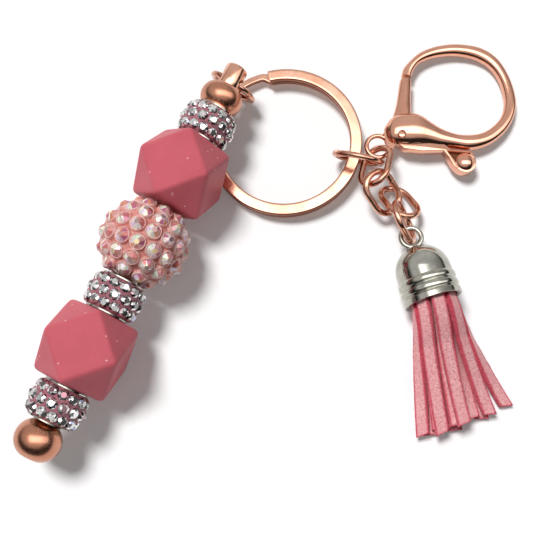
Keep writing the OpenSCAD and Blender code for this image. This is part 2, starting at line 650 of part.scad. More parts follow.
key_ring();
bar_jump_ring();
eye_post();
top_ball();
bar_rod();
end_ball();
crystal_bead_1_core();
crystal_bead_1_clay();
crystal_bead_1_stones();
crystal_bead_2_core();
crystal_bead_2_clay();
crystal_bead_2_stones();
crystal_bead_3_core();
crystal_bead_3_clay();
crystal_bead_3_stones();
hex_bead_upper();
hex_bead_lower();
berry_bead_ball();
berry_bead_stones();
ring_jump_ring();
chain_link_1();
chain_link_2();
chain_link_3();
chain_link_4();
clasp_body();
clasp_lever();
clasp_pin();
clasp_spring();
tassel_cap();
tassel_band();
tassel_strands_outer();
tassel_strands_inner();
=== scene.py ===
"""Looks of the wristlet keychain: beaded bar, split ring, chain, lobster claw and suede tassel.

Pieces are worked out in millimetres in their own axes and then seated in the shared frame.
"""
import math

import bmesh
import bpy
import numpy as np
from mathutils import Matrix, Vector


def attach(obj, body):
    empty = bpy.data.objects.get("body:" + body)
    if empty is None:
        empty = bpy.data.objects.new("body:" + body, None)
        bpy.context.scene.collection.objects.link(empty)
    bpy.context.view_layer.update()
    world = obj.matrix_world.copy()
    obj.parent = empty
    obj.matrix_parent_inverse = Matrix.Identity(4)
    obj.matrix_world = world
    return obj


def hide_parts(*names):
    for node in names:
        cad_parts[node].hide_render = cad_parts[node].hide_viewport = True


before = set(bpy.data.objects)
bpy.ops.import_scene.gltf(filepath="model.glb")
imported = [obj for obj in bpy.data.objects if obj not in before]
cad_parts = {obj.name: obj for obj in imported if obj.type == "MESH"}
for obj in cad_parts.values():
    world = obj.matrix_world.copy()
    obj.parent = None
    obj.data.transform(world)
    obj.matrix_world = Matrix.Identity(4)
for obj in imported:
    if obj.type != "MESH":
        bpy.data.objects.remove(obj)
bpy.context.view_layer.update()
rng = np.random.default_rng(20)

MM = 0.001
SHIFT = np.array([3.02, 5.1, 0.0])  # brings the keychain's middle over the origin
WELD = 0.002  # corners of a cut piece that are closer than this become one

# Centre of each piece and its x, y and z axes on the table, before the shift.
SEATS = {
    "key_ring": ([3.5, 24.3, 2.20628], [
        [0.997731, 0, 0.0673329], [-0.00094043, 0.999902, 0.0139352],
        [-0.0673264, -0.0139669, 0.997633]]),
    "bar_jump": ([-6.34637, 34.4198, 4.85788], [
        [-0.830741, 0.556658, 0.000978467], [-0.103295, -0.155881, 0.98236],
        [0.546991, 0.815986, 0.186997]]),
    "bar": ([-6.63925, 33.7286, 8.7308], [
        [-0.899052, 0.437841, 0], [-0.00133306, -0.00273727, -0.999995],
        [-0.437839, -0.899048, 0.00304462]]),
    "ring_jump": ([17.1222, 20.0651, 4.87209], [
        [0.976488, -0.192173, -0.0976781], [-0.0439902, 0.265941, -0.962985],
        [0.211037, 0.94464, 0.251234]]),
    "link_1": ([20.3251, 18.7065, 4.53025], [
        [0.229691, 0.940707, -0.249624], [-0.759867, 0.0130668, -0.649947],
        [-0.608148, 0.338968, 0.717814]]),
    "link_2": ([21.5095, 13.5725, 4.50816], [
        [0.560056, -0.680584, -0.47238], [0.708681, 0.688893, -0.15231],
        [0.429078, -0.249464, 0.868136]]),
    "link_3": ([24.7773, 12.1787, 2.96725], [
        [0.441013, -0.781608, 0.44113], [0.872812, 0.25901, -0.413658],
        [0.209061, 0.567452, 0.796424]]),
    "link_4": ([25.2504, 7.85556, 4.4948], [
        [0.487028, -0.559894, -0.670316], [0.0920243, 0.796115, -0.598108],
        [0.868525, 0.22961, 0.439254]]),
    "clasp": ([25.2344, 24.6003, 3.15935], [
        [0.998752, 0, -0.0499376], [-0.00224213, 0.998992, -0.0448425],
        [0.0498873, 0.0448985, 0.997745]]),
    "tassel": ([26.4505, 4.963, 4.43421], [
        [0.268931, -0.959188, 0.087373], [0.962871, 0.269964, 0],
        [-0.0235875, 0.0841289, 0.996176]]),
}
# Distance of each bead's start along the bar, and its roll in degrees.
BAR = {"ball": 1.7, "crystal_bead_1": 6.52, "hex_bead_upper": 13.24, "berry": 26.96,
       "crystal_bead_2": 41.88, "hex_bead_lower": 48.6, "crystal_bead_3": 62.32, "end": 69.04}
ROLL = {"crystal_bead_1": 5, "crystal_bead_2": 14, "crystal_bead_3": -4,
        "hex_bead_upper": 6, "hex_bead_lower": -4}


def seated(points, seat):
    """Own axes to the shared frame: centre + x, y and z times the piece's three axes, in metres."""
    centre, axes = SEATS[seat]
    return (points @ np.array(axes) + np.array(centre) - SHIFT) * MM


def on_bar(start, roll=0):
    """A seat on the bar: points turn by roll degrees about its z axis and move up it by start."""
    c, s = math.cos(math.radians(roll)), math.sin(math.radians(roll))
    turn = np.array([[c, s, 0], [-s, c, 0], [0, 0, 1]])
    return lambda points: seated(points @ turn + [0, 0, start], "bar")


# ---------- points ----------
def round_angles(count):
    """The angles of count points evenly spaced round a circle."""
    return np.arange(count) * 2 * np.pi / count


def about_z(r, a, z):
    """Points at radius r and angle a about the z axis, at height z: (r cos a, r sin a, z)."""
    return np.stack(np.broadcast_arrays(r * np.cos(a), r * np.sin(a), z), -1)


def globe(polar, around):
    """Unit directions at angles polar down from z, and at a number of steps around it."""
    return about_z(np.sin(polar)[:, None], round_angles(around), np.cos(polar)[:, None])


def arc(cx, cy, r, start, end, count):
    """Points on a circle about (cx, cy) from start to end, in degrees."""
    a = np.radians(np.linspace(start, end, count))
    return np.stack([cx + r * np.cos(a), cy + r * np.sin(a)], -1)


def round_section(radius, sides):
    """A circle as a profile of (u, v)."""
    return about_z(radius, round_angles(sides), 0)[:, :2]


def rounded_bar(width, height, corner, steps):
    """Outline of a rectangle with round corners, five points along each straight side."""
    w, h = width / 2 - corner, height / 2 - corner
    parts = [arc(w, h, corner, 0, 90, steps), arc(-w, h, corner, 90, 180, steps),
             arc(-w, -h, corner, 180, 270, steps), arc(w, -h, corner, 270, 360, steps)]
    share = np.linspace(0, 1, 7)[1:-1, None]
    line = []
    for part, following in zip(parts, parts[1:] + parts[:1]):
        line += [part, part[-1] + (following[0] - part[-1]) * share]
    return np.concatenate(line)


def smooth_step(x):
    """0 below 0, 1 above 1 and 3x2 - 2x3 between."""
    x = np.clip(x, 0, 1)
    return x * x * (3 - 2 * x)


def bump(x):
    """exp(-x squared): 1 at 0, fading to 0 on both sides."""
    return np.exp(-x ** 2)


def curve_through(stations, steps):
    """Catmull-Rom curve through rows of stations, steps points to a stretch."""
    p = np.asarray(stations, float)
    q = np.concatenate([p[:1], p, p[-1:]])
    t = (np.arange(steps) / steps)[None, :, None]
    a, b, c, d = (q[k:len(q) - 3 + k, None] for k in range(4))
    out = 0.5 * (2 * b + (c - a) * t + (2 * a - 5 * b + 4 * c - d) * t ** 2
                 + (3 * b - a - 3 * c + d) * t ** 3)
    return np.concatenate([out.reshape(-1, p.shape[1]), p[-1:]])


# ---------- shells: a shell is its points and its faces ----------
def lofted(rings, closed=False):
    """Skin over rings of points, an array of rings by sides by 3.

    Quads join neighbouring rings. Closed joins the last ring to the first; an open skin gets a
    flat face on each end.
    """
    n, m = rings.shape[:2]
    i, k = np.meshgrid(np.arange(n if closed else n - 1), np.arange(m), indexing="ij")
    j, b = (i + 1) % n, (k + 1) % m
    faces = np.stack([i * m + k, i * m + b, j * m + b, j * m + k], -1).reshape(-1, 4).tolist()
    if not closed:
        faces += [list(range(m - 1, -1, -1)), list(range((n - 1) * m, n * m))]
    return rings.reshape(-1, 3), faces


def turned(profile, sides=64, closed=True):
    """A profile of (radius, height) turned about z: x = r cos a, y = r sin a, z = height."""
    p = np.asarray(profile, float)
    return lofted(about_z(p[:, :1], round_angles(sides), p[:, 1:]), closed)


def joined(*shells):
    """Several shells as one."""
    points, faces, base = [], [], 0
    for p, f in shells:
        points.append(p)
        faces += [[v + base for v in face] for face in f]
        base += len(p)
    return np.concatenate(points), faces


def moved(shell, offset):
    return shell[0] + np.asarray(offset, float), shell[1]


LIP_ARC = np.radians([10, 35, 60, 80])


def lipped(centres, side, up, scale, half, lip):
    """Rounds over the last end of a sweep; half is half its section's width and height.

    The last ring steps back by lip, then more rings go out again by lip sin a while the section
    draws in by lip (1 - cos a).
    """
    way = centres[-1] - centres[-2]
    way = way / np.linalg.norm(way)
    back = centres[-1] - way * lip
    small = 1 - lip * (1 - np.cos(LIP_ARC))[:, None] / half
    return (np.concatenate([centres[:-1], back[None],
                            back + way * lip * np.sin(LIP_ARC)[:, None]]),
            *(np.concatenate([x, np.repeat(x[-1:], len(LIP_ARC), 0)]) for x in (side, up)),
            np.concatenate([scale, scale[-1] * small]))


def swept(centres, side, up, profile, lip, scale=None):
    """A profile (u, v) carried along a path: centre + side u + up v, each ring scaled by scale.

    Both ends are rounded over by lip.
    """
    rows = [np.broadcast_to(np.asarray(x, float), centres.shape) for x in (centres, side, up)]
    rows.append(np.ones((len(centres), 2)) if scale is None else scale)
    half = np.abs(profile).max(0)
    for _ in range(2):  # The path is turned round each time, so its first end comes first.
        rows = lipped(*(x[::-1] for x in rows), half, lip)
    c, s, u, scale = rows
    section = profile[None] * scale[:, None]
    return lofted(c[:, None] + s[:, None] * section[..., :1] + u[:, None] * section[..., 1:])


def plate(outline, low, high, soft=0.0):
    """A flat outline given a thickness from low to high.

    Its edges are rounded over by soft: each level is the outline drawn in along its corners'
    bisectors by soft (1 - sin a), at a height of soft (1 - cos a) from the face.
    """
    p = np.asarray(outline, float)
    area = np.sum(p[:, 0] * np.roll(p[:, 1], -1) - np.roll(p[:, 0], -1) * p[:, 1])
    p = p if area > 0 else p[::-1]
    ahead = np.roll(p, -1, 0) - p
    ahead /= np.linalg.norm(ahead, axis=1)[:, None]
    out = ahead[:, ::-1] * [1, -1]
    before = np.roll(out, 1, 0)
    corner = (out + before) / (1 + (out * before).sum(1))[:, None]
    a = np.radians([0, 25, 55, 90]) if soft else np.array([np.pi / 2])
    drawn, rise = soft * (1 - np.sin(a)), soft * (1 - np.cos(a))
    levels = [*zip(drawn, low + rise), *zip(drawn[::-1], high - rise[::-1])]
    return lofted(np.stack([np.column_stack([p - corner * d, np.full(len(p), z)])
                            for d, z in levels]))


def pillar(r, low, high, at=(0, 0), soft=0.0):
    """A round pillar about an axis through at, its edges rounded over by soft."""
    edge = [(r, low), (r, high)]
    if soft:
        edge = np.concatenate([arc(r - soft, low + soft, soft, -90, 0, 4),
                               arc(r - soft, high - soft, soft, 0, 90, 4)])
    return moved(turned([(0.01, low), *edge, (0.01, high)], closed=False), (*at, 0))


# ---------- objects ----------
def add_object(name, shell, smooth=180):
    """One mesh object from a shell in metres; edges sharper than smooth degrees stay sharp."""
    mesh = bpy.data.meshes.new(name)
    mesh.from_pydata(shell[0], [], shell[1])
    obj = bpy.data.objects.new(name, mesh)
    bpy.context.scene.collection.objects.link(obj)
    shade(mesh, smooth)
    return obj


def shade(mesh, smooth):
    mesh.polygons.foreach_set("use_smooth", np.full(len(mesh.polygons), smooth > 0))
    if 0 < smooth < 180:
        mesh.set_sharp_from_angle(angle=math.radians(smooth))
    mesh.update()


def worn(obj, finish, body, *nodes):
    """Gives a piece its finish, its body and the CAD nodes it stands for."""
    material, slot = finish
    obj.data.materials.clear()
    obj.data.materials.append(material)
    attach(obj, body)
    if nodes:
        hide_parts(*nodes)
    return obj


def piece(name, shell, seat, finish, body, *nodes, smooth=180):
    """A shell in its own axes as a finished object; seat is a name in SEATS or a function."""
    points = seat(shell[0]) if callable(seat) else seated(shell[0], seat)
    return worn(add_object(name, (points, shell[1]), smooth), finish, body, *nodes)


def combined(name, shell, tools, seat, smooth, wall=None):
    """A shell with others added to it or cut from it, as (operation, shell) in turn, then seated.

    The work is done in the piece's own axes, where its flat faces are exactly level; corners
    left closer than WELD are made one. wall(points) is each point's share of painted shade.
    """
    obj = add_object(name, shell)
    for operation, tool in tools:
        other = add_object(name + "_tool", tool)
        step = obj.modifiers.new("step", "BOOLEAN")
        step.operation, step.object, step.solver = operation, other, "EXACT"
        made = bpy.data.meshes.new_from_object(
            obj.evaluated_get(bpy.context.evaluated_depsgraph_get()))
        obj.modifiers.clear()
        obj.data = made
        bpy.data.objects.remove(other)
    mesh = bmesh.new()
    mesh.from_mesh(obj.data)
    bmesh.ops.remove_doubles(mesh, verts=mesh.verts, dist=WELD)
    bmesh.ops.dissolve_degenerate(mesh, edges=mesh.edges, dist=WELD)
    loose = [edge for edge in mesh.edges if edge.is_wire]
    bmesh.ops.delete(mesh, geom=loose, context="EDGES")
    bmesh.ops.holes_fill(mesh, edges=[edge for edge in mesh.edges if edge.is_boundary], sides=12)
    mesh.to_mesh(obj.data)
    mesh.free()
    points = np.empty(len(obj.data.vertices) * 3)
    obj.data.vertices.foreach_get("co", points)
    points = points.reshape(-1, 3)
    obj.data.vertices.foreach_set("co", seated(points, seat).ravel())
    shade(obj.data, smooth)
    if wall:
        marked(obj, "wall", wall(points))
    return obj


def marked(obj, name, share):
    """Gives each point a share from 0 to 1 that a material reads by name."""
    layer = obj.data.attributes.new(name, "FLOAT", "POINT")
    layer.data.foreach_set("value", np.asarray(share, np.float32))


# ---------- finishes: a finish is a material and the record's slot that it goes by ----------
def rgb(red, green, blue):
    """A screen colour of 0 to 255 as the linear colour the shader takes."""
    c = np.array([red, green, blue]) / 255
    linear = np.where(c <= 0.04045, c / 12.92, ((c + 0.055) / 1.055) ** 2.4)
    return (*linear.tolist(), 1.0)


def put(tree, socket, value):
    """Links a socket to another, or gives it a value."""
    if isinstance(value, bpy.types.NodeSocket):
        tree.links.new(value, socket)
    else:
        socket.default_value = value


def add_node(tree, kind, inputs=None, **properties):
    """A node with its properties set and its sockets linked or given values."""
    node = tree.nodes.new(kind)
    for key, value in properties.items():
        setattr(node, key, value)
    for key, value in (inputs or {}).items():
        put(tree, node.inputs[key], value)
    return node


class Finish:
    """A material with its Principled shader; sockets are set by name, underscores for spaces."""

    def __init__(self, name, **sockets):
        self.material = bpy.data.materials.new(name)
        self.material.use_nodes = True
        self.tree = self.material.node_tree
        self.shader = self.tree.nodes["Principled BSDF"]
        for key, value in sockets.items():
            self.shader.inputs[key.replace("_", " ")].default_value = value
        self.coordinates = self.add("ShaderNodeTexCoord").outputs["Object"]

    def add(self, kind, inputs=None, **properties):
        return add_node(self.tree, kind, inputs, **properties)

    def to_shader(self, socket, value):
        self.tree.links.new(value, self.shader.inputs[socket])

    def noise(self, size_mm, detail=3, roughness=0.5, stretch=None):
        """Noise whose patches are about size_mm across, drawn out by stretch in x, y and z."""
        where = self.coordinates
        if stretch:
            where = self.add("ShaderNodeMapping", {"Vector": where, "Scale": stretch}).outputs[0]
        return self.add("ShaderNodeTexNoise", {
            "Vector": where, "Scale": 1000 / size_mm, "Detail": detail,
            "Roughness": roughness}).outputs["Fac"]

    def spread(self, value, low, high, to_low, to_high):
        """Straight change of range, clamped."""
        return self.add("ShaderNodeMapRange", {
            "Value": value, "From Min": low, "From Max": high,
            "To Min": to_low, "To Max": to_high}).outputs["Result"]

    def blend(self, share, first, second):
        """Two colours mixed by a share from 0 to 1; 6 and 7 are Mix's colour sockets."""
        return self.add("ShaderNodeMix", {0: share, 6: first, 7: second},
                        data_type="RGBA").outputs[2]

    def attribute(self, name, output="Fac"):
        return self.add("ShaderNodeAttribute", attribute_name=name).outputs[output]

    def relief(self, height, depth_mm, strength=1.0, under=None):
        """Bump of a height from 0 to 1 that stands for depth_mm."""
        inputs = {"Height": height, "Distance": depth_mm * MM, "Strength": strength}
        if under:
            inputs["Normal"] = under
        return self.add("ShaderNodeBump", inputs).outputs["Normal"]


def plated(name, slot, tone, deep, smoothest, roughest, brushing, ripple, patch_mm=4.0):
    """Plated metal: tone drifting to deep, roughness in patches, brushing lines and a ripple.

    Where "wall" is marked, the tone is blended to a dark brown: painted shade and painted dark
    reflection.
    """
    f = Finish(name, Metallic=1.0)
    patches = f.noise(patch_mm, 3)
    plate_tone = f.blend(f.spread(patches, 0.35, 0.7, 0, 1), tone, deep)
    # Painted shade: the "wall" share blends the tone to dark brown, standing for dark reflections
    # on edges and shade in hollows.
    f.to_shader("Base Color", f.blend(f.attribute("wall"), plate_tone, rgb(140, 84, 62)))
    smears = f.noise(0.5, 5, 0.65)
    f.to_shader("Roughness", f.spread(smears, 0.3, 0.75, smoothest, roughest))
    lines = f.noise(0.12, 2, 0.6, (1.0, 0.12, 1.0))
    swell = f.noise(3.5, 1)
    f.to_shader("Normal", f.relief(lines, 0.004, brushing, f.relief(swell, 0.05, ripple)))
    return f.material, slot


POLISHED = plated("rose_gold_polished", "rose_gold", rgb(234, 176, 150), rgb(224, 162, 136),
                  0.09, 0.19, 0.25, 0.2)
WIRE = plated("rose_gold_wire", "rose_gold", rgb(230, 176, 152), rgb(184, 122, 98),
              0.09, 0.2, 0.3, 0.3, 1.8)
SATIN = plated("rose_gold_satin", "rose_gold", rgb(240, 188, 162), rgb(222, 162, 134),
               0.13, 0.24, 0.9, 0.14)
BALL = plated("rose_gold_ball", "rose_gold", rgb(206, 146, 120), rgb(190, 128, 102),
              0.22, 0.32, 0.4, 0.3)
SILVER = plated("silver_plate", "antique_silver", rgb(190, 188, 178), rgb(160, 158, 147),
                0.07, 0.17, 0.25, 0.5, 2.5)


def silicone():
    """Matte silicone: a faint grain, slow cloudy tone and a few white specks of dust."""
    f = Finish("pink_silicone", Roughness=0.5, Specular_IOR_Level=0.35, Subsurface_Weight=0.12,
               Subsurface_Scale=0.0012, Subsurface_Radius=(1.0, 0.35, 0.35))
    cloud = f.spread(f.noise(5, 3), 0.3, 0.7, 0, 1)
    body = f.blend(cloud, rgb(207, 101, 112), rgb(198, 94, 105))
    grain = f.noise(0.12, 3, 0.7)
    body = f.blend(f.spread(grain, 0.35, 0.75, 0, 0.25), body, rgb(169, 72, 84))
    f.to_shader("Base Color", f.blend(f.attribute("speck"), body, rgb(250, 226, 224)))
    f.to_shader("Normal", f.relief(grain, 0.01, 0.5))
    return f.material, "pink_silicone"


def clay():
    """Dusty mauve polymer clay between the crystals, uneven in tone and pressed."""
    f = Finish("mauve_clay", Roughness=0.5, Specular_IOR_Level=0.4)
    f.to_shader("Base Color", f.blend(f.spread(f.noise(0.8, 3), 0.35, 0.65, 0, 1),
                                      rgb(176, 114, 124), rgb(142, 86, 98)))
    f.to_shader("Normal", f.relief(f.noise(0.25, 3), 0.03, 0.7))
    return f.material, "mauve_clay"


def resin():
    """Clear pink resin: cloudy inside, glossy and rippled; the rims of the collars are painted
    paler, a painted glow of light.
    """
    f = Finish("pink_resin", Roughness=0.16, Subsurface_Weight=0.5, Subsurface_Scale=0.0018,
               Subsurface_Radius=(1.0, 0.5, 0.45), Coat_Weight=0.6, Coat_Roughness=0.06)
    cloudy = f.blend(f.spread(f.noise(1.6, 3), 0.35, 0.65, 0, 1),
                     rgb(226, 152, 140), rgb(206, 122, 110))
    # Painted light: the rim share blends the collars towards pale pink, standing for light glowing
    # through the thin resin.
    f.to_shader("Base Color", f.blend(f.attribute("rim"), cloudy, rgb(250, 206, 204)))
    f.to_shader("Normal", f.relief(f.noise(0.35, 2), 0.03, 0.4))
    return f.material, "pink_resin"


def faceted(name, metallic, rough, coat):
    """Foiled stones: each facet's own tint, which paints its reflections, light and shade, clouded
    a little, under a clear coat.
    """
    f = Finish(name, Metallic=metallic, Coat_Weight=coat, Coat_Roughness=0.03)
    tint = f.attribute("tint", "Color")
    cloud = f.spread(f.noise(0.3, 2), 0.3, 0.7, 0, 0.35)
    f.to_shader("Base Color", f.blend(cloud, tint, rgb(128, 112, 116)))
    f.to_shader("Roughness", f.spread(f.noise(0.2, 2), 0.3, 0.7, rough, rough + 0.1))
    return f.material, name


def suede():
    """Suede: speckled nap on the face and darker raw fibre where the strip was cut."""
    f = Finish("pink_suede", Roughness=0.95, Specular_IOR_Level=0.1, Sheen_Weight=0.35,
               Sheen_Roughness=0.5, Sheen_Tint=rgb(255, 214, 214))
    speckle = f.noise(0.34, 5, 0.85)
    nap = f.blend(f.spread(speckle, 0.4, 0.58, 0, 1), rgb(208, 124, 130), rgb(248, 194, 195))
    drift = f.blend(f.spread(f.noise(3, 2), 0.35, 0.65, 0, 0.4), nap, rgb(230, 156, 160))
    raw = f.blend(f.spread(speckle, 0.35, 0.65, 0, 1), rgb(176, 50, 68), rgb(228, 102, 120))
    f.to_shader("Base Color", f.blend(f.attribute("cut"), drift, raw))
    f.to_shader("Normal", f.relief(f.noise(0.1, 4, 0.8), 0.06, 0.8))
    return f.material, "pink_suede"


SILICONE, CLAY, RESIN, SUEDE = silicone(), clay(), resin(), suede()
CRYSTAL = faceted("clear_crystal", 0.9, 0.03, 1.0)
PEARLY = faceted("pearly_stone", 0.15, 0.12, 0.5)


# ---------- key ring ----------
# The band's section, its middle radius and half the pitch of its two turns.
BAND_W, BAND_H, BAND_MID, HALF_TURN = 2.2, 1.19, 13.5, 0.6
# Where the turns cross: the band's width and step outwards, and its angles in degrees.
CROSS_W, CROSS_OUT, CROSS_FROM, CROSS_TO, CROSS_EASE = 1.3, 0.75, 103.0, 146.0, 8
BAND_FROM, BAND_TO = -214.0, 463.0


def key_ring():
    """Flat wire in two turns: radius and width blend where it crosses, height climbs there.

    The angle runs from the lower free end once round, through the crossing and once more round;
    centre = (r cos a, r sin a, h), the band's round-cornered section standing radially.
    """
    a = np.linspace(BAND_FROM, BAND_TO, 620)
    over = (smooth_step((a - CROSS_FROM + 2) / CROSS_EASE)
            * smooth_step((CROSS_TO + 2 - a) / CROSS_EASE))
    climb = np.clip((a - CROSS_FROM) / (CROSS_TO - CROSS_FROM), 0, 1)
    t = np.radians(a)
    centres = about_z(BAND_MID + CROSS_OUT * over, t, HALF_TURN * (2 * climb - 1))
    scale = np.stack([1 + (CROSS_W / BAND_W - 1) * over, 1 - 0.02 * over], -1)
    band = rounded_bar(BAND_W, BAND_H, 0.3, 6)
    # Side x up runs backwards along the wire, so the path is given from its far end.
    shell = swept(centres[::-1], about_z(1, t, 0)[::-1], [0, 0, 1], band, 0.12, scale[::-1])
    obj = piece("split_ring", shell, "key_ring", SATIN, "key_ring", "key_ring", smooth=50)
    # Walls, darkened with painted dark reflection: the part of the section more than 0.9 from its
    # middle line.
    wall = smooth_step((np.abs(band[:, 0]) - 0.9) / 0.16)
    marked(obj, "wall", np.tile(wall, len(shell[0]) // len(band)))


# ---------- jump rings and links ----------
WIRE_SIDES, WIRE_TRIM = 20, 0.005
JUMP_WIRE, LINK_WIRE, LINK_LEN, LINK_W = 1.15, 1.2, 9.4, 6.9
JUMP_CUT, LINK_CUT = 0.05, 0.03  # half the opening left between a wire's two ends


def wire_loop(path, wire):
    """Round wire along an open loop in its own plane; its two ends nearly meet at the seam."""
    ahead = np.gradient(path, axis=0)
    ahead /= np.linalg.norm(ahead, axis=1)[:, None]
    up = np.array([0, 0, 1.0])
    section = round_section(wire / 2 - WIRE_TRIM, WIRE_SIDES)
    return swept(path, np.cross(ahead, up), up, section[::-1], 0.09)


def jump_ring(seat, od, seam, twist):
    """Torus wire open at the seam angle; the ends are offset by twist along the ring's axis."""
    gap = JUMP_CUT / (od / 2)
    a = np.linspace(gap, 2 * np.pi - gap, 150) + math.radians(seam)
    swing = np.linspace(-1, 1, len(a))
    path = about_z((od - JUMP_WIRE) / 2, a, twist * np.sign(swing) * np.abs(swing) ** 6)
    body = seat + "_ring"
    piece(seat + "_wire", wire_loop(path, JUMP_WIRE), seat, WIRE, body, body, smooth=50)


def oval_link(number, seam):
    """Two half circles joined by straights, cut through on one straight at the seam."""
    r, s = (LINK_W - LINK_WIRE) / 2, (LINK_LEN - LINK_W) / 2
    bend = np.pi * r
    total = 2 * bend + 4 * s
    d = (np.linspace(LINK_CUT, total - LINK_CUT, 170) + seam) % total
    parts = [d < s, d < s + bend, d < 3 * s + bend, d < 3 * s + 2 * bend, d < total + 1]
    a1, a2 = (d - s) / r, (d - 3 * s - bend) / r
    x = np.select(parts, [d, s + r * np.sin(a1), 2 * s + bend - d, -s - r * np.sin(a2), d - total])
    y = np.select(parts, [-r + 0 * d, -r * np.cos(a1), r + 0 * d, r * np.cos(a2), -r + 0 * d])
    shell = wire_loop(np.stack([x, y, 0 * x], -1), LINK_WIRE)
    body = f"chain_link_{number}"
    piece(body + "_wire", shell, f"link_{number}", WIRE, body, body, smooth=50)


# ---------- bar ----------
POST_R, POST_TOP, POST_FOOT, BORE_R, ROD_R = 2.1, -2.9, 1.7, 1.05, 1.2
ROD_FROM, THREAD_FROM, ROD_TO, THREAD_PITCH, THREAD_DEPTH = 3.2, 69.0, 72.5, 0.45, 0.22


def post():
    """Turned eye post, bored across along x: x = sqrt(post radius squared - y squared) + past.

    The bore opens towards each mouth in rings of (radius, distance past the post's wall).
    """
    solid = turned([(0.02, POST_TOP), (1.7, POST_TOP), (1.85, -2.86), (2.02, -2.7),
                    (POST_R, -2.5), (POST_R, 0), (POST_R, 1.55), (2.02, POST_FOOT),
                    (0.02, POST_FOOT)], 96, closed=False)
    a = round_angles(64)
    mouth = []
    for radius, past in ((1.5, 0.4), (1.2, 0.02), (1.11, -0.05), (1.07, -0.11), (BORE_R, -0.2)):
        x = np.sqrt(POST_R ** 2 - (radius * np.cos(a)) ** 2) + past
        mouth.append(np.stack([x, radius * np.cos(a), radius * np.sin(a)], -1))
    bore = lofted(np.stack([m * [-1, 1, 1] for m in mouth] + mouth[::-1]))
    worn(combined("bar_post", solid, [("DIFFERENCE", bore)], "bar", 40), SATIN, "bar", "eye_post")


def ball_wall(widest, half_height, section, count):
    """Bulging wall of a turned ball: an arc of radius section that reaches out to widest."""
    reach = math.degrees(math.asin(half_height / section))
    return arc(widest - section, half_height, section, -reach, reach, count)


def balls():
    """Top ball with the lip that its bead sits against, and end ball with its threaded bore."""
    wall = ball_wall(4, 2.15, 2.88, 46)
    lip = [(3.2, 4.3), (3.3, 4.36), (3.3, 4.62), (3.22, 4.7), (ROD_R, 4.7), (ROD_R, 1.5)]
    profile = np.concatenate([[(0.02, 0.0), (wall[0, 0] - 0.1, 0.0)], wall, lip, [(0.02, 1.5)]])
    piece("bar_top_ball", turned(profile, 96, closed=False), on_bar(BAR["ball"]), BALL, "bar",
          "top_ball", smooth=40)
    bore = [(0.02, 3.9), (1.25, 3.9), (1.25, 0.12), (1.37, 0.0)]
    foot = [(1.5, 6.4), (1.4, 6.34), (1.36, 6.25), (0.02, 6.2)]
    profile = np.concatenate([bore, ball_wall(4.1, 3.2, 0.535 * 6.4, 56), foot])
    piece("bar_end_ball", turned(profile, 96, closed=False), on_bar(BAR["end"]), BALL,
          "end_ball", "end_ball", smooth=40)


def rod():
    """Rod with a thread at its free end: its radius dips by a triangle wave along a helix.

    The wave runs once from 0 to 1 and back in each pitch of z / pitch - angle / full turn.
    """
    z = np.concatenate([np.linspace(ROD_FROM, THREAD_FROM, 40),
                        np.linspace(THREAD_FROM + 0.05, ROD_TO, 110)])[:, None]
    t = round_angles(40)
    wave = 1 - np.abs(((z / THREAD_PITCH - t / (2 * np.pi)) % 1) * 2 - 1)
    r = ROD_R - THREAD_DEPTH * smooth_step((z - THREAD_FROM) / 0.5) * wave
    r[-1] -= 0.25
    piece("threaded_rod", lofted(about_z(r, t, z)), "bar", SATIN, "bar", "bar_rod", smooth=40)


# ---------- stones ----------
def stone_template(radius, height, sink, table, belt, belt_height=0.62):
    """Brilliant cut: a table of 8, 8 middle corners turned by a sixteenth, a girdle of 16, a foot.

    Returns points, faces and each face's kind: 0 table, 1 star, 2 kite, 3 girdle, 4 foot.
    """
    eighths, sixteenths = round_angles(8), round_angles(16)
    level = [about_z(table * radius, eighths, height),
             about_z(belt * radius, eighths + np.pi / 8, belt_height * height),
             about_z(radius, sixteenths, 0), about_z(0.68 * radius, sixteenths, -sink)]
    faces, kinds = [list(range(8))], [0]
    for i in range(8):
        j = (i + 1) % 8
        faces += [[i, 8 + i, j], [i, 8 + (i - 1) % 8, 16 + 2 * i, 8 + i],
                  [8 + i, 16 + 2 * i, 16 + 2 * i + 1], [8 + i, 16 + 2 * i + 1, 16 + 2 * j]]
        kinds += [1, 2, 3, 3]
    for i in range(16):
        j = (i + 1) % 16
        faces.append([16 + i, 32 + i, 32 + j, 16 + j])
        kinds.append(4)
    faces.append(list(range(47, 31, -1)))
    kinds.append(4)
    return np.concatenate(level), faces, np.array(kinds)


def stones(name, places, template, palette, seat, finish, body, node):
    """Copies of one stone at places (centres, 3 by 3 turns), each facet tinted from the palette."""
    points, faces, kinds = template
    centres, turns = places
    all_points = np.einsum("vk,nkj->nvj", points, turns) + centres[:, None]
    n, m = len(centres), len(points)
    all_faces = [[v + i * m for v in f] for i in range(n) for f in faces]
    obj = piece(name, (all_points.reshape(-1, 3), all_faces), seat, finish, body, node, smooth=0)
    lean = np.array([points[f].mean(0) for f in faces]) * [1, 1, 0]
    lean = lean / np.maximum(np.linalg.norm(lean, axis=1), 1e-6)[:, None]
    tint = palette(kinds, np.einsum("fk,nkj->nfj", lean, turns))
    sizes = np.array([len(f) for f in faces])
    layer = obj.data.color_attributes.new(name="tint", type="FLOAT_COLOR", domain="CORNER")
    corner = np.repeat(tint.reshape(-1, 3), np.tile(sizes, n), 0)
    layer.data.foreach_set("color", np.column_stack([corner, np.ones(len(corner))]).ravel())


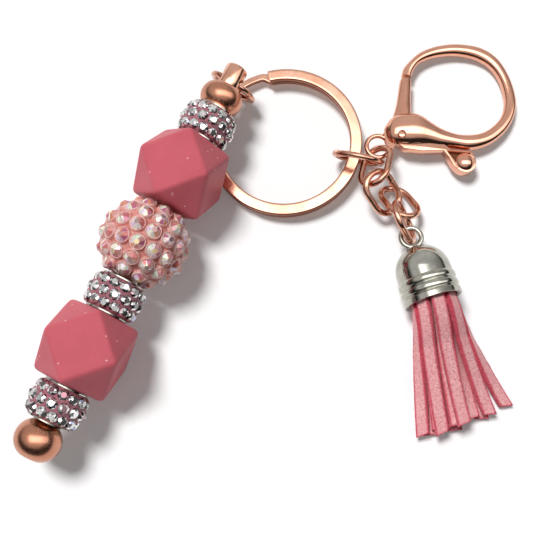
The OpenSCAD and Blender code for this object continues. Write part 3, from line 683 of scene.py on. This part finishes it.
def frames_out(a, lean):
    """Turns for stones: z points out at angle a round the bar, leaned by lean along the bar."""
    z = about_z(np.cos(lean), a, np.sin(lean))
    y = np.stack([-np.sin(a), np.cos(a), 0 * a], -1)
    x = np.cross(y, z)
    spin = rng.uniform(0, np.pi / 4, len(a))[:, None]
    return np.stack([x * np.cos(spin) + y * np.sin(spin),
                     y * np.cos(spin) - x * np.sin(spin), z], 1)


def linear(colours):
    return np.array([rgb(*c)[:3] for c in colours])


# Facet tones of the clear stones, white through black with pink and blue: painted reflections and
# glints.
SPARKLE_TONES = linear([(255, 255, 253), (236, 238, 236), (200, 204, 202), (140, 144, 142),
                (76, 78, 78), (24, 24, 24), (214, 168, 176), (150, 94, 106), (190, 200, 250)])
# Odds of each tone for a table, a star facet, a kite and a girdle facet.
SPARKLE_ODDS = [[0.16, 0.28, 0.28, 0.16, 0.04, 0.00, 0.06, 0.02, 0.00],
              [0.40, 0.10, 0.06, 0.08, 0.12, 0.16, 0.04, 0.02, 0.02],
              [0.42, 0.16, 0.10, 0.10, 0.08, 0.06, 0.04, 0.02, 0.02],
              [0.18, 0.08, 0.12, 0.18, 0.16, 0.10, 0.08, 0.09, 0.01]]
# Coated stones' tones: PALE for the painted lit side, DEEP for the painted shaded side.
PALE = linear([(255, 252, 226), (244, 226, 240), (252, 240, 232), (238, 204, 234),
               (246, 222, 214), (236, 246, 220)])
DEEP = linear([(232, 158, 152), (214, 110, 104), (200, 104, 140), (230, 146, 110),
               (230, 168, 164)])
TABLES = linear([(180, 150, 138), (228, 206, 168), (150, 126, 132), (250, 220, 160),
                 (212, 160, 152), (172, 146, 138)])
TABLE, FOOT = 0, 4


def painted_sparkle_tints(kinds, leans):
    """Clear stones: each facet a tone drawn by its kind's odds, which paints the stone's
    reflections and glints; the foot a dark rose.
    """
    tint = np.empty(leans.shape)
    for kind, odds in enumerate(SPARKLE_ODDS):
        here = np.flatnonzero(kinds == kind)
        tint[:, here] = SPARKLE_TONES[rng.choice(len(SPARKLE_TONES), (len(leans), len(here)), p=odds)]
    tint[:, kinds == FOOT] = SPARKLE_TONES[7] * 0.5
    return tint


def coated_lit_side_tints(kinds, leans):
    """Coated stones: pale cream and lilac on one side, red and magenta on the other.

    The tones are the coating's colours; their parting into a lit side and a shaded side is painted
    light. Each stone has its own direction, one fixed way with scatter, towards the light; a facet
    is painted pale, as lit, where its lean follows it, with some noise.
    """
    n, facets = leans.shape[:2]
    # The way the painted light comes from, the same for all stones but scattered.
    way = np.array([0.8, 0.35, 0.45]) + rng.normal(0, 0.45, (n, 3))
    way /= np.linalg.norm(way, axis=1)[:, None]
    follow = np.einsum("nfj,nj->nf", leans, way) + rng.normal(0, 0.28, (n, facets))
    pale = PALE[rng.integers(0, len(PALE), (n, facets))]
    deep = DEEP[rng.integers(0, len(DEEP), (n, facets))]
    tint = np.where((follow > -0.1)[..., None], pale, deep)
    tint[:, kinds == TABLE] = TABLES[rng.integers(0, len(TABLES), n)][:, None]
    tint[:, kinds == FOOT] = DEEP[0] * 0.7
    return tint


# ---------- crystal rondelles ----------
BARREL_HALF, BARREL_R, BARREL_FALL, BARREL_BORE = 3.0, 4.85, 0.9, 1.76
FLARE_HALF, FLARE_R, TUBE_R, TUBE_BORE = 3.3, 3.9, 1.75, 1.4
ROWS, ROW_COUNT, ROW_STEP = 3, 14, 1.9 * 1.02


def barrel(z):
    """Radius of the clay at height z from its middle: it falls off with z squared."""
    return BARREL_R - BARREL_FALL * (z / BARREL_HALF) ** 2


def crystal_places():
    """Rows of crystals round the barrel, neighbouring rows turned by half a step."""
    row, k = (x.ravel() for x in np.meshgrid(np.arange(ROWS), np.arange(ROW_COUNT),
                                             indexing="ij"))
    z = (row - 1) * ROW_STEP
    a = (k + row / 2) * 2 * np.pi / ROW_COUNT
    return about_z(barrel(z) - 0.03, a, z), frames_out(a, np.radians(z * 12 / ROW_STEP))


def crystal_bead(name):
    """Metal core with two flares, a clay barrel pressed round each crystal, and the crystals.

    Clay: radius = barrel - 0.32 inside each crystal + 0.07 bump((gap - 1.06) / 0.12) round it
    - 0.05 beyond, where gap is the distance to the nearest crystal's centre.
    """
    seat = on_bar(BAR[name] + FLARE_HALF, ROLL[name])
    places = crystal_places()
    z = np.linspace(-BARREL_HALF, BARREL_HALF, 60)[:, None]
    t = round_angles(200)
    r = barrel(z) + 0 * t
    gap = np.sqrt(((about_z(r, t, z)[:, :, None] - places[0]) ** 2).sum(-1)).min(2)
    r = r - 0.32 * smooth_step((0.95 - gap) / 0.12) + 0.07 * bump((gap - 1.06) / 0.12)
    r = r - 0.05 * smooth_step((gap - 1.1) / 0.3)
    r[0], r[-1] = FLARE_R, FLARE_R
    inside = about_z(BARREL_BORE, t, np.array([[BARREL_HALF], [-BARREL_HALF]]))
    shell = lofted(np.concatenate([about_z(r, t, z), inside]), True)
    piece(name + "_pressed_clay", shell, seat, CLAY, name, name + "_clay", smooth=50)

    flare = [(TUBE_R, BARREL_HALF), (FLARE_R - 0.06, BARREL_HALF), (FLARE_R, BARREL_HALF + 0.05),
             (FLARE_R, FLARE_HALF - 0.05), (FLARE_R - 0.06, FLARE_HALF), (TUBE_BORE, FLARE_HALF)]
    core = turned([(r, -z) for r, z in flare[::-1]] + flare, 72)
    piece(name + "_flared_tube", core, seat, SILVER, name, name + "_core", smooth=35)
    stones(name + "_cut_stones", places, stone_template(1.0, 0.45, 0.4, 0.5, 0.76),
           painted_sparkle_tints, seat, CRYSTAL, name, name + "_stones")


# ---------- hexagon beads ----------
SQUARE_AT, HEX_BORE, HEX_POWER = 6.8, 1.4, 34
CORNER_AT = 2 * 5.8 / math.sqrt(3) + 1


def hexagon_bead(name):
    """Rounded solid with 6 square and 8 triangular faces about the bar.

    Along a direction n its radius is 1 / (sum over faces of (n . face / distance)^p)^(1/p),
    which rounds each edge; a thin moulding line is added where n lies on a plane through the bar.
    """
    squares = np.array([sign * axis for axis in np.eye(3) for sign in (1, -1)])
    corners = np.array(np.meshgrid(*[(1, -1)] * 3, indexing="ij")).reshape(3, -1).T
    planes = np.concatenate([squares / SQUARE_AT, corners * (1 / math.sqrt(3)) / CORNER_AT])
    # Angles down from the bar, leaving its bore open, closest together round the bead's belt.
    polar = np.concatenate([np.linspace(0.212, 0.95, 46), np.linspace(0.95, 2.19, 90)[1:],
                            np.linspace(2.19, np.pi - 0.212, 46)[1:]])[::-1]
    n = globe(polar, 240)
    reach = (np.clip(n @ planes.T, 0, None) ** HEX_POWER).sum(-1) ** (-1 / HEX_POWER)
    off = n @ np.array([math.sqrt(0.5), -math.sqrt(0.5), 0]) * reach
    reach = reach + 0.035 * bump(off / 0.09)
    # The moulded mouth of the hole turns in over a small radius.
    mouth = turned([(1.55, 6.76), (1.45, 6.7), (HEX_BORE, 6.58)], 240)[0].reshape(3, 240, 3)
    rings = [(mouth * [1, 1, -1])[::-1], n * reach[..., None], mouth]
    shell = lofted(np.concatenate(rings), True)
    obj = piece(name + "_moulded", shell, on_bar(BAR[name] + SQUARE_AT, ROLL[name]), SILICONE,
                name, name)
    # Dust: 1 at a chosen point, bump(distance / 0.1) round it.
    chosen = shell[0][rng.choice(np.flatnonzero(shell[0][:, 1] < 0), 16)]
    far = np.sqrt(((shell[0][:, None] - chosen) ** 2).sum(-1)).min(1)
    marked(obj, "speck", bump(far / 0.1))


# ---------- berry bead ----------
BERRY_R, BERRY_HALF, BERRY_BORE, STONE_D, STONES_AT = 7.5, 7.4, 1.4, 2.85, 7.44


def berry_places():
    """Rows of stones on the ball, as many to a row as fit."""
    row_step = 2 * math.asin(STONE_D * 1.02 / (2 * BERRY_R))
    last = int(math.acos((BERRY_BORE + STONE_D * 0.62) / BERRY_R) / row_step - 0.5)
    a, lat = [], []
    for row in range(-last - 1, last + 1):
        b = (row + 0.5) * row_step
        n = int(math.pi / math.asin(min(1, STONE_D * 1.03 / (2 * BERRY_R * math.cos(b)))))
        a.append((np.arange(n) + row / 2) * 2 * np.pi / n)
        lat.append(np.full(n, b))
    a, lat = np.concatenate(a), np.concatenate(lat)
    return about_z(np.cos(lat), a, np.sin(lat)) * STONES_AT, frames_out(a, lat)


def berry_bead():
    """Resin ball raised into a collar round each stone, with the stones set in the collars.

    Radius = 7.08 + 0.66 bump(past / 0.21), less 0.56 under the stone. Gap is the distance to the
    nearest stone's centre, and past is how far it is over 1.3.
    """
    seat = on_bar(BAR["berry"] + BERRY_HALF)
    places = berry_places()
    sides = 420
    n = globe(np.linspace(0.2, np.pi - 0.2, 200)[::-1], sides)
    gap = np.sqrt(np.clip(2 - 2 * (n @ (places[0] / STONES_AT).T), 0, None)).min(2) * STONES_AT
    rise = bump(np.clip(gap - 1.3, 0, None) / 0.21)
    reach = 7.08 + 0.66 * rise - 0.56 * smooth_step((1.26 - gap) / 0.12)
    grid = n * reach[..., None]
    grid[..., 2] = np.clip(grid[..., 2], -BERRY_HALF, BERRY_HALF)
    bore = about_z(BERRY_BORE, round_angles(sides), np.array([[7.2], [-7.2]]))
    shell = lofted(np.concatenate([grid, bore]), True)
    obj = piece("berry_resin", shell, seat, RESIN, "berry_bead", "berry_bead_ball")
    # Rim share: where the painted glow of light goes on the collars.
    marked(obj, "rim", np.concatenate([0.45 * rise.ravel(), np.zeros(2 * sides)]))
    stones("berry_cut_stones", places, stone_template(1.24, 0.8, 0.4, 0.36, 0.9, 0.26),
           coated_lit_side_tints, seat, PEARLY, "berry_bead", "berry_bead_stones")


# ---------- clasp ----------
# Rows of CLAW and GATE: two facing edge points of the cast metal and half its height there.
WR, BR = 1.1, 2.65
CLAW = [
    [0.95, 13.15, 2.88, 12.95, 0.9 * WR], [1.45, 14.85, 3.3, 14.2, 0.95 * WR],
    [2.9, 16.6, 4.4, 15.75, WR], [5.0, 18.4, 6.2, 16.85, WR],
    [8.4, 19.8, 8.9, 17.65, WR], [12.6, 20.3, 12.2, 17.9, 1.05 * WR],
    [16.9, 19.6, 15.7, 17.2, 1.05 * WR], [20.1, 17.3, 18.5, 15.4, 1.05 * WR],
    [22.2, 13.3, 20.2, 12.4, 1.02 * WR], [23.1, 8.8, 20.8, 8.9, 1.02 * WR],
    [22.6, 5.4, 20.4, 6.1, 1.02 * WR], [20.9, 2.3, 19.3, 4.1, 1.05 * WR],
    [18.4, -0.1, 17.3, 2.25, 1.1 * WR], [15.9, -1.45, 15.2, 1.25, 1.2 * WR],
    [13.0, -2.05, 12.7, 0.98, 1.3 * WR], [10.3, -1.8, 10.5, 1.2, 0.58 * BR],
    [7.6, -1.7, 7.9, 2.2, 0.7 * BR], [5.5, -1.5, 6.0, 3.45, 0.82 * BR],
    [3.6, -1.6, 4.4, 4.6, 0.94 * BR], [1.9, -1.75, 2.8, 5.2, BR],
    [0.5, -1.7, 1.2, 5.1, BR], [-0.8, -1.5, -0.2, 4.85, 0.93 * BR],
    [-1.9, -1.1, -1.35, 4.3, 0.76 * BR], [-2.55, -0.2, -2.2, 3.2, 0.48 * BR],
    [-2.9, 0.9, -2.75, 2.3, 0.2 * BR]]
GATE = [
    [2.75, 12.3, 0.75, 12.45, 0.85 * WR], [2.8, 11.5, 0.5, 11.6, 0.9 * WR],
    [2.62, 9.6, 0.15, 9.6, 0.9 * WR], [2.5, 7.4, -0.25, 7.4, 0.9 * WR],
    [2.45, 5.8, -0.65, 5.9, 0.9 * WR], [2.2, 3.6, -1.1, 4.2, 0.9 * WR],
    [1.6, 1.6, -1.0, 1.8, 0.9 * WR], [0.9, 0.4, -0.8, 0.5, 0.9 * WR]]
# Plans of the body's slot, its neck by the eye, the lever's arm and the hollow in that arm.
SLOT = [[-1.25, 0.8], [-1.9, 5.2], [-1.5, 7.5], [4.2, 7.5], [5.9, 4.8], [5.6, 3.6], [3.5, 0.9],
        [7.9, -0.5], [8.7, -1.2], [9.6, -2.2], [13.9, -2.5], [13.9, -5], [0, -5], [-0.9, -1.2]]
NECK = [[-3.2, 0.9], [-2.1, 1.2], [-1.2, 0.9], [-0.9, -1.4], [-1.5, -2.3], [-2.3, -2.0]]
ARM = [[-0.6, -1.15], [0.6, -2.3], [4, -2.75], [8.1, -2.55], [9.0, -3.9], [9.75, -5.5],
       [10.6, -6.4], [12.2, -4.9], [14.0, -4.1], [13.5, -2.6], [9.5, -2.35], [8.4, -1.35],
       [7.7, -0.75], [2, 0.95], [0.5, 1.25]]
RECESS = [[8.62, -2.6], [9.6, -2.66], [13.2, -2.95], [12.9, -3.6], [11.4, -3.9], [10.2, -5.0]]
EYE, EYE_BAR, EYE_HOLE = (-4.15, -1.65), 0.9, 1.75
KNOB, KNOB_R = (12.05, -4.85), 2.1
SLOT_HALF, LEVER_HALF, NECK_HALF, HUB_TOP, SOFT = 1.17, 1.05, 0.72, 0.444, 0.14
RIVET_R, SPRING_R, SPRING_WIRE = 0.74, 0.98, 0.3


def edge_pairs(stations):
    """Ovals strung on a smooth curve of paired edges.

    A point is the middle of its pair + c times half their span, at -s times half the height.
    c and s are cosine and sine with their size raised to 0.94, which squares the oval a little.
    """
    p = curve_through(stations, 9)
    a = round_angles(40)
    c, s = (np.sign(v) * np.abs(v) ** 0.94 for v in (np.cos(a), np.sin(a)))
    mid, half = (p[:, :2] + p[:, 2:4]) / 2, (p[:, 2:4] - p[:, :2]) / 2
    rings = np.concatenate([mid[:, None] + half[:, None] * c[None, :, None],
                            (-p[:, 4:5] * s)[..., None]], -1)
    return lofted(rings)


def hollow_painted_shade(points):
    """1 for points of the lever that lie down in its hollow, where shade is painted; 0 elsewhere.
    """
    x, y, z = points.T
    return (x > 8.5) & (x < 13.3) & (y > -5.1) & (y < -2.5) & (z > 0.1) & (z < LEVER_HALF - 0.05)


def claw():
    """Cast claw: neck and eye added, then slot, lever hub, rivet hole and eye hole cut."""
    eye = moved(turned(arc(EYE_HOLE + EYE_BAR / 2, 0, EYE_BAR / 2, 0, 360, 25)[:-1], 72),
                (*EYE, 0))
    tools = [("UNION", plate(NECK, -NECK_HALF, NECK_HALF)), ("UNION", eye),
             ("DIFFERENCE", plate(SLOT, -SLOT_HALF, SLOT_HALF)),
             ("DIFFERENCE", pillar(1.5, -SLOT_HALF, SLOT_HALF)),
             ("DIFFERENCE", pillar(RIVET_R + 0.01, -4, 4)),
             ("DIFFERENCE", pillar(EYE_HOLE + 0.01, -2, 2, EYE))]
    worn(combined("cast_claw", edge_pairs(CLAW), tools, "clasp", 38), POLISHED, "clasp",
         "clasp_body")


def lever():
    """Lever's arm with its hub, knob and hollow, its gate, and the dome on its knob."""
    # Hollow in the arm: its floor rises from 0.6 deep by the body to 0.3 deep by the knob.
    hollow, hollow_faces = plate(RECESS, 0, 2)
    floor = np.where(hollow[:, 2] > 1, 2, LEVER_HALF - 0.3 - 0.12 * (hollow[:, 1] + 5))
    tools = [("UNION", pillar(1.35, -LEVER_HALF, LEVER_HALF)),
             ("UNION", pillar(KNOB_R, -LEVER_HALF, LEVER_HALF, KNOB, SOFT)),
             ("DIFFERENCE", (hollow * [1, 1, 0] + [0, 0, 1] * floor[:, None], hollow_faces)),
             ("DIFFERENCE", pillar(RIVET_R + 0.05, -2, 2)),
             ("DIFFERENCE", pillar(1.4, HUB_TOP, 2))]
    arm = plate(ARM, -LEVER_HALF, LEVER_HALF, SOFT)
    # The hollow's points are marked as "wall", which paints shade into the hollow.
    worn(combined("lever_arm", arm, tools, "clasp", 40, hollow_painted_shade), POLISHED, "clasp_lever",
         "clasp_lever")
    dome = turned(np.concatenate([[(0.02, 0.4), (1.7, 0.4), (1.7, 1.06)],
                                  arc(0, -0.25, KNOB_R, 38, 89.5, 16)]), closed=False)
    piece("lever_gate", joined(edge_pairs(GATE), moved(dome, (*KNOB, 0))), "clasp", POLISHED,
          "clasp_lever", smooth=50)


def rivet_and_spring():
    """Rivet with two low heads; spring centre = (R cos a, R sin a, rise a), round in section."""
    head = [(RIVET_R, 2.1), (0.72, 2.28), (0.62, 2.38), (0.4, 2.43), (0.02, 2.44)]
    profile = [(r, -z) for r, z in head[::-1]] + head
    piece("rivet", turned(profile, 40, False), "clasp", SATIN, "clasp", "clasp_pin", smooth=40)
    a = np.linspace(0, 2 * np.pi * 1.05, 110)
    path = about_z(SPRING_R, a, HUB_TOP + 0.2 + 0.32 * a / (2 * np.pi))
    shell = swept(path[::-1], about_z(1, a, 0)[::-1], [0, 0, 1],
                  round_section(SPRING_WIRE / 2, 14), 0.05)
    piece("coiled_spring", shell, "clasp", SILVER, "clasp", "clasp_spring", smooth=60)


# ---------- tassel ----------
CAP_FROM, CAP_H, CAP_R, CAP_INNER, FLARE = 1.85, 10.6, 5.0, 4.35, 0.1
STRAND_FROM, IN_CAP, STRAND_LEN, STRAND_W, STRAND_T = 10.25, 2.2, 22.5, 2.4, 1.0


def bell(x):
    """Outer radius of the bell at depth x: a quarter circle, then a slight flare."""
    return np.where(x < CAP_R, np.sqrt(np.clip(CAP_R ** 2 - (CAP_R - x) ** 2, 0, None)),
                    CAP_R + FLARE * (x - CAP_R) / (CAP_H - CAP_R))


def cap():
    """Bell with two raised ribs and a rolled rim, open below, and a wire eye on its crown.

    Each rib adds half an ellipse, 1.2 wide, to the bell's radius; a groove takes a bump off it.
    """
    x = np.concatenate([CAP_R * (1 - np.cos(np.linspace(0.13, np.pi / 2, 30))),
                        np.linspace(CAP_R, CAP_H, 80)[1:]])
    r = bell(x)
    for at in (7.0, 8.55):
        r = r + 0.24 * np.sqrt(np.clip(1 - ((x - at) / 0.6) ** 2, 0, None))
    r = r - 0.12 * bump((x - 7.78) / 0.16) - 0.12 * bump((x - 9.3) / 0.14)
    r = r + 0.2 * smooth_step((x - 9.4) / 0.25)
    rim = [(r[-1] - 0.05, CAP_H + 0.03), (r[-1] - 0.18, CAP_H + 0.04), (4.5, CAP_H + 0.02),
           (4.4, CAP_H - 0.06)]
    inner = [(CAP_INNER, CAP_H - 0.2), (CAP_INNER, 4.6), (3.8, 4.6), (3.8, 2.2), (0.02, 2.2)]
    p, faces = turned(np.concatenate([[(0.02, 0.0)], np.stack([r, x], -1), rim, inner]), 96,
                      False)
    # The bell is turned about z, which becomes the tassel's own x axis.
    down = np.stack([p[:, 2] + CAP_FROM, p[:, 1], -p[:, 0]], -1)
    piece("bell_cap", (down, faces), "tassel", SILVER, "tassel", "tassel_cap", smooth=40)
    piece("cap_eye", turned(arc(1.85, 0, 0.5, 0, 360, 25)[:-1]), "tassel", SILVER, "tassel")


# Each strand's free end: y, z, roll in degrees and share of full length. An inner strand has
# its y, z and roll in the cap first.
OUTER_R = 3.5
OUTER_ENDS = [
    [7.6, -6.35, 172, 0.93], [4.0, -5.22, 175, 0.96], [-1.35, -3.2, 180, 0.98],
    [-5.35, -4.15, 180, 1], [-8.5, -5.4, 195, 0.97], [-7.0, -6.55, 360, 0.98],
    [-2.5, -6.5, 360, 1], [2.75, -6.55, 360, 0.97]]
INNER_ENDS = [
    [0, 0.65, 0, -2.4, -4.3, 0, 0.97], [0, -0.65, 0, -2.6, -5.35, 0, 0.98],
    [-1.9, 0.1, 90, -5.5, -5.2, 0, 0.96], [1.87, 0.05, 90, 0.95, -5.3, 175, 0.95]]


def strand(ends, rings=64):
    """A flat strip from its place in the cap to its place on the table.

    u is the share below the rim; y = y0 + (y1 - y0) u^1.15, z = z0 + (z1 - z0)(1 - (1 - u)^1.6)
    eased in over the first third, roll straight in u. Returns the shell, its cut-edge share and
    its rings of points.
    """
    y0, z0, roll0, y1, z1, roll1, length = ends
    long = STRAND_LEN * length + IN_CAP
    t = np.linspace(0, 1, rings)[:, None]
    u = np.clip(long * t - IN_CAP, 0, None) / (long - IN_CAP)
    y = y0 + (y1 - y0) * u ** 1.15
    z = z0 + (z1 - z0) * (1 - (1 - u) ** 1.6) * np.minimum(1, u * 3)
    roll = np.radians(roll0 + (roll1 - roll0) * u)
    c, s = np.cos(roll), np.sin(roll)
    profile = rounded_bar(STRAND_W, STRAND_T, 0.13, 3)
    # Each ring wobbles with its neighbours, inside the strip's own width and thickness.
    wobble = rng.normal(0, 0.012, (rings, len(profile), 2))
    wobble = wobble + np.roll(wobble, 1, 0) + np.roll(wobble, -1, 0)
    most = np.array([STRAND_W / 2, STRAND_T / 2])
    p = np.clip(profile[None] + wobble, -most, most)
    # The free end is cut a little askew.
    skew = rng.uniform(-0.25, 0.25) * (t ** 12) * profile[None, :, 0]
    points = np.stack([STRAND_FROM + long * t - 0.25 * t ** 12 + skew,
                       y + p[..., 0] * c - p[..., 1] * s, z + p[..., 0] * s + p[..., 1] * c], -1)
    side = smooth_step((np.abs(profile[None, :, 0]) - STRAND_W / 2 + 0.3) / 0.14)
    cut = np.repeat(side, rings, 0)
    cut[-1] = 1
    return lofted(points), cut.ravel(), points


def fibres(points, count):
    """Stray hairs on a strand's edges: thin three-sided curls that leave and fall back.

    Centre = start + 1.8 size t (1 - 0.75 t) outwards + size t along its run, t from 0 to 1.
    """
    n, m = points.shape[:2]
    i = rng.integers(8, n - 1, count)
    k = rng.integers(0, m, count)
    start = points[i, k]
    out = start - points[i].mean(1)
    out /= np.linalg.norm(out, axis=1)[:, None]
    run = np.stack([rng.uniform(-1, 1, count), rng.normal(0, 0.3, count),
                    rng.normal(0, 0.3, count)], -1)
    size = rng.uniform(0.15, 0.5, count)[:, None]
    t = np.linspace(0, 1, 5)[:, None, None]
    line = start + out * (size * 0.45) * 4 * t * (1 - 0.75 * t) + run * size * t
    thick = 0.026 * (1 - 0.6 * t)
    ahead = np.gradient(line, axis=0)
    ahead /= np.linalg.norm(ahead, axis=2)[..., None]
    side = np.cross(run, out)
    side /= np.linalg.norm(side, axis=1)[:, None]
    up = np.cross(ahead, side[None])
    a = round_angles(3)[:, None]
    rings = line[:, :, None] + thick[..., None] * (side[None, :, None] * np.cos(a)
                                                   + up[:, :, None] * np.sin(a))
    return joined(*[lofted(rings[:, j]) for j in range(count)])


def tassel_fringe():
    """Eight outer and four inner strands with their hairs, and the rolled strip in the cap."""
    outer = [[OUTER_R * math.cos(k * math.pi / 4), OUTER_R * math.sin(k * math.pi / 4),
              45 * k + 90, *ends] for k, ends in enumerate(OUTER_ENDS)]
    for which, rows in (("outer", outer), ("inner", INNER_ENDS)):
        made = [strand(ends) for ends in rows]
        hairs = [fibres(points, 60) for _, _, points in made]
        shell = joined(*[m[0] for m in made], *hairs)
        obj = piece("fringe_" + which, shell, "tassel", SUEDE, "tassel",
                    "tassel_strands_" + which, smooth=60)
        marked(obj, "cut", np.concatenate([m[1] for m in made]
                                          + [np.full(len(h[0]), 0.1) for h in hairs]))
    # Rolled strip: r = 0.72 + 1.15 a / 2 pi, a strip standing along the tassel's axis.
    a = np.linspace(0.3, 2 * np.pi * 2.5, 150)
    r = 0.72 + 1.15 * a / (2 * np.pi)
    low, high = 4.75 + CAP_FROM, 8.2 + CAP_FROM
    path = np.stack([np.full(len(a), (low + high) / 2), r * np.cos(a), r * np.sin(a)], -1)
    out = np.stack([0 * a, np.cos(a), np.sin(a)], -1)
    shell = swept(path[::-1], out[::-1], [1, 0, 0], rounded_bar(0.98, high - low, 0.12, 3), 0.08)
    obj = piece("rolled_strip", shell, "tassel", SUEDE, "tassel", "tassel_band", smooth=60)
    marked(obj, "cut", np.full(len(shell[0]), 0.6))


key_ring()
jump_ring("bar_jump", 9.8, 150, 0.12)
jump_ring("ring_jump", 10.0, 200, 0.1)
for number, seam in ((1, 3.0), (2, 12.0), (3, 3.0), (4, 12.0)):
    oval_link(number, seam)
post()
balls()
rod()
for number in (1, 2, 3):
    crystal_bead(f"crystal_bead_{number}")
hexagon_bead("hex_bead_upper")
hexagon_bead("hex_bead_lower")
berry_bead()
claw()
lever()
rivet_and_spring()
cap()
tassel_fringe()


# ---------- table, light and camera ----------
# Table's glow, the surround's light on the object and the sun's, and how far down the table is.
GLOW, FILL, KEY, DROP = 0.1, 0.16, 2.9, 0.00003
WHITE = (1, 1, 1, 1)


def seen_plainly(tree):
    """1 for rays from the camera, a mirror or glass, 0 for rays that light the object."""
    paths = add_node(tree, "ShaderNodeLightPath").outputs
    share = paths["Is Camera Ray"]
    for kind in ("Is Glossy Ray", "Is Transmission Ray"):
        share = add_node(tree, "ShaderNodeMath", {0: share, 1: paths[kind]},
                         operation="MAXIMUM").outputs[0]
    return share, paths["Is Camera Ray"]


def table():
    """White table whose glow is seen by the camera, mirrors and glass only."""
    corners = np.array([[-1, -1, 0], [1, -1, 0], [1, 1, 0], [-1, 1, 0]], float)
    obj = add_object("table", (corners - [0, 0, DROP], [[0, 1, 2, 3]]), 0)
    f = Finish("white_table", Roughness=0.9, Specular_IOR_Level=0.0,
               Base_Color=(0.92, 0.92, 0.92, 1), Emission_Color=WHITE)
    glow = f.add("ShaderNodeMath", {0: seen_plainly(f.tree)[0], 1: GLOW}, operation="MULTIPLY")
    f.to_shader("Emission Strength", glow.outputs[0])
    obj.data.materials.append(f.material)


def studio():
    """White surround for the camera; mirrors see one bright panel overhead in a greyer room.

    Panel = 1 for directions with y from -0.2 to 0.35, x over -0.45 and z over 0.4, softly. The
    room falls nearly dark as z + 0.45 y goes from 0.62 to 0.25, and to half as x goes to 0.8.
    """
    world = bpy.data.worlds.new("studio")
    world.use_nodes = True
    bpy.context.scene.world = world
    tree = world.node_tree
    back = tree.nodes["Background"]

    def node(kind, inputs, **properties):
        return add_node(tree, kind, inputs, **properties).outputs[0]

    def ramp(value, low, high, to_low, to_high):
        return node("ShaderNodeMapRange", {
            "Value": value, "From Min": low, "From Max": high, "To Min": to_low,
            "To Max": to_high}, interpolation_type="SMOOTHSTEP")

    def times(first, second):
        return node("ShaderNodeMath", {0: first, 1: second}, operation="MULTIPLY")

    facing = add_node(tree, "ShaderNodeTexCoord").outputs["Generated"]
    way = add_node(tree, "ShaderNodeSeparateXYZ", {0: facing})
    across, along, height = (way.outputs[k] for k in "XYZ")
    panel = ramp(along, 0.24, 0.47, 1, 0)
    for share in (ramp(along, -0.32, -0.06, 0, 1), ramp(across, -0.6, -0.3, 0, 1),
                  ramp(height, 0.3, 0.5, 0, 1)):
        panel = times(panel, share)
    room = ramp(panel, 0, 1, 0.68, 3.5)
    horizon = node("ShaderNodeMath", {0: along, 1: 0.45, 2: height}, operation="MULTIPLY_ADD")
    for share in (ramp(horizon, 0.25, 0.62, 0.04, 1), ramp(across, 0.3, 0.8, 1, 0.5)):
        room = times(room, share)
    share, camera_ray = seen_plainly(tree)
    seen = node("ShaderNodeMix", {0: share, 2: FILL, 3: room}, data_type="FLOAT")
    level = node("ShaderNodeMix", {0: camera_ray, 2: seen, 3: 1.0}, data_type="FLOAT")
    put(tree, back.inputs["Strength"], level)
    put(tree, back.inputs["Color"], WHITE)


def look_at(obj, where, aim):
    way = Vector(aim) - Vector(where)
    obj.rotation_euler = way.to_track_quat("-Z", "Y").to_euler()


table()
studio()
sun = bpy.data.objects.new("key", bpy.data.lights.new("key", "SUN"))
bpy.context.scene.collection.objects.link(sun)
sun.data.energy, sun.data.angle = KEY, math.radians(17)
look_at(sun, (-0.33, 0.33, 1.0), (0, 0, 0))
sun.visible_glossy = False

camera = bpy.data.objects.new("camera", bpy.data.cameras.new("camera"))
bpy.context.scene.collection.objects.link(camera)
camera.data.lens, camera.data.sensor_width, camera.data.clip_start = 54.03, 36, 0.01
camera.location = (-0.00302, -0.0370, 0.1461)
look_at(camera, camera.location, (-0.00302, -0.0051, 0.0024))
bpy.context.scene.camera = camera
bpy.context.scene.view_settings.view_transform = "Standard"
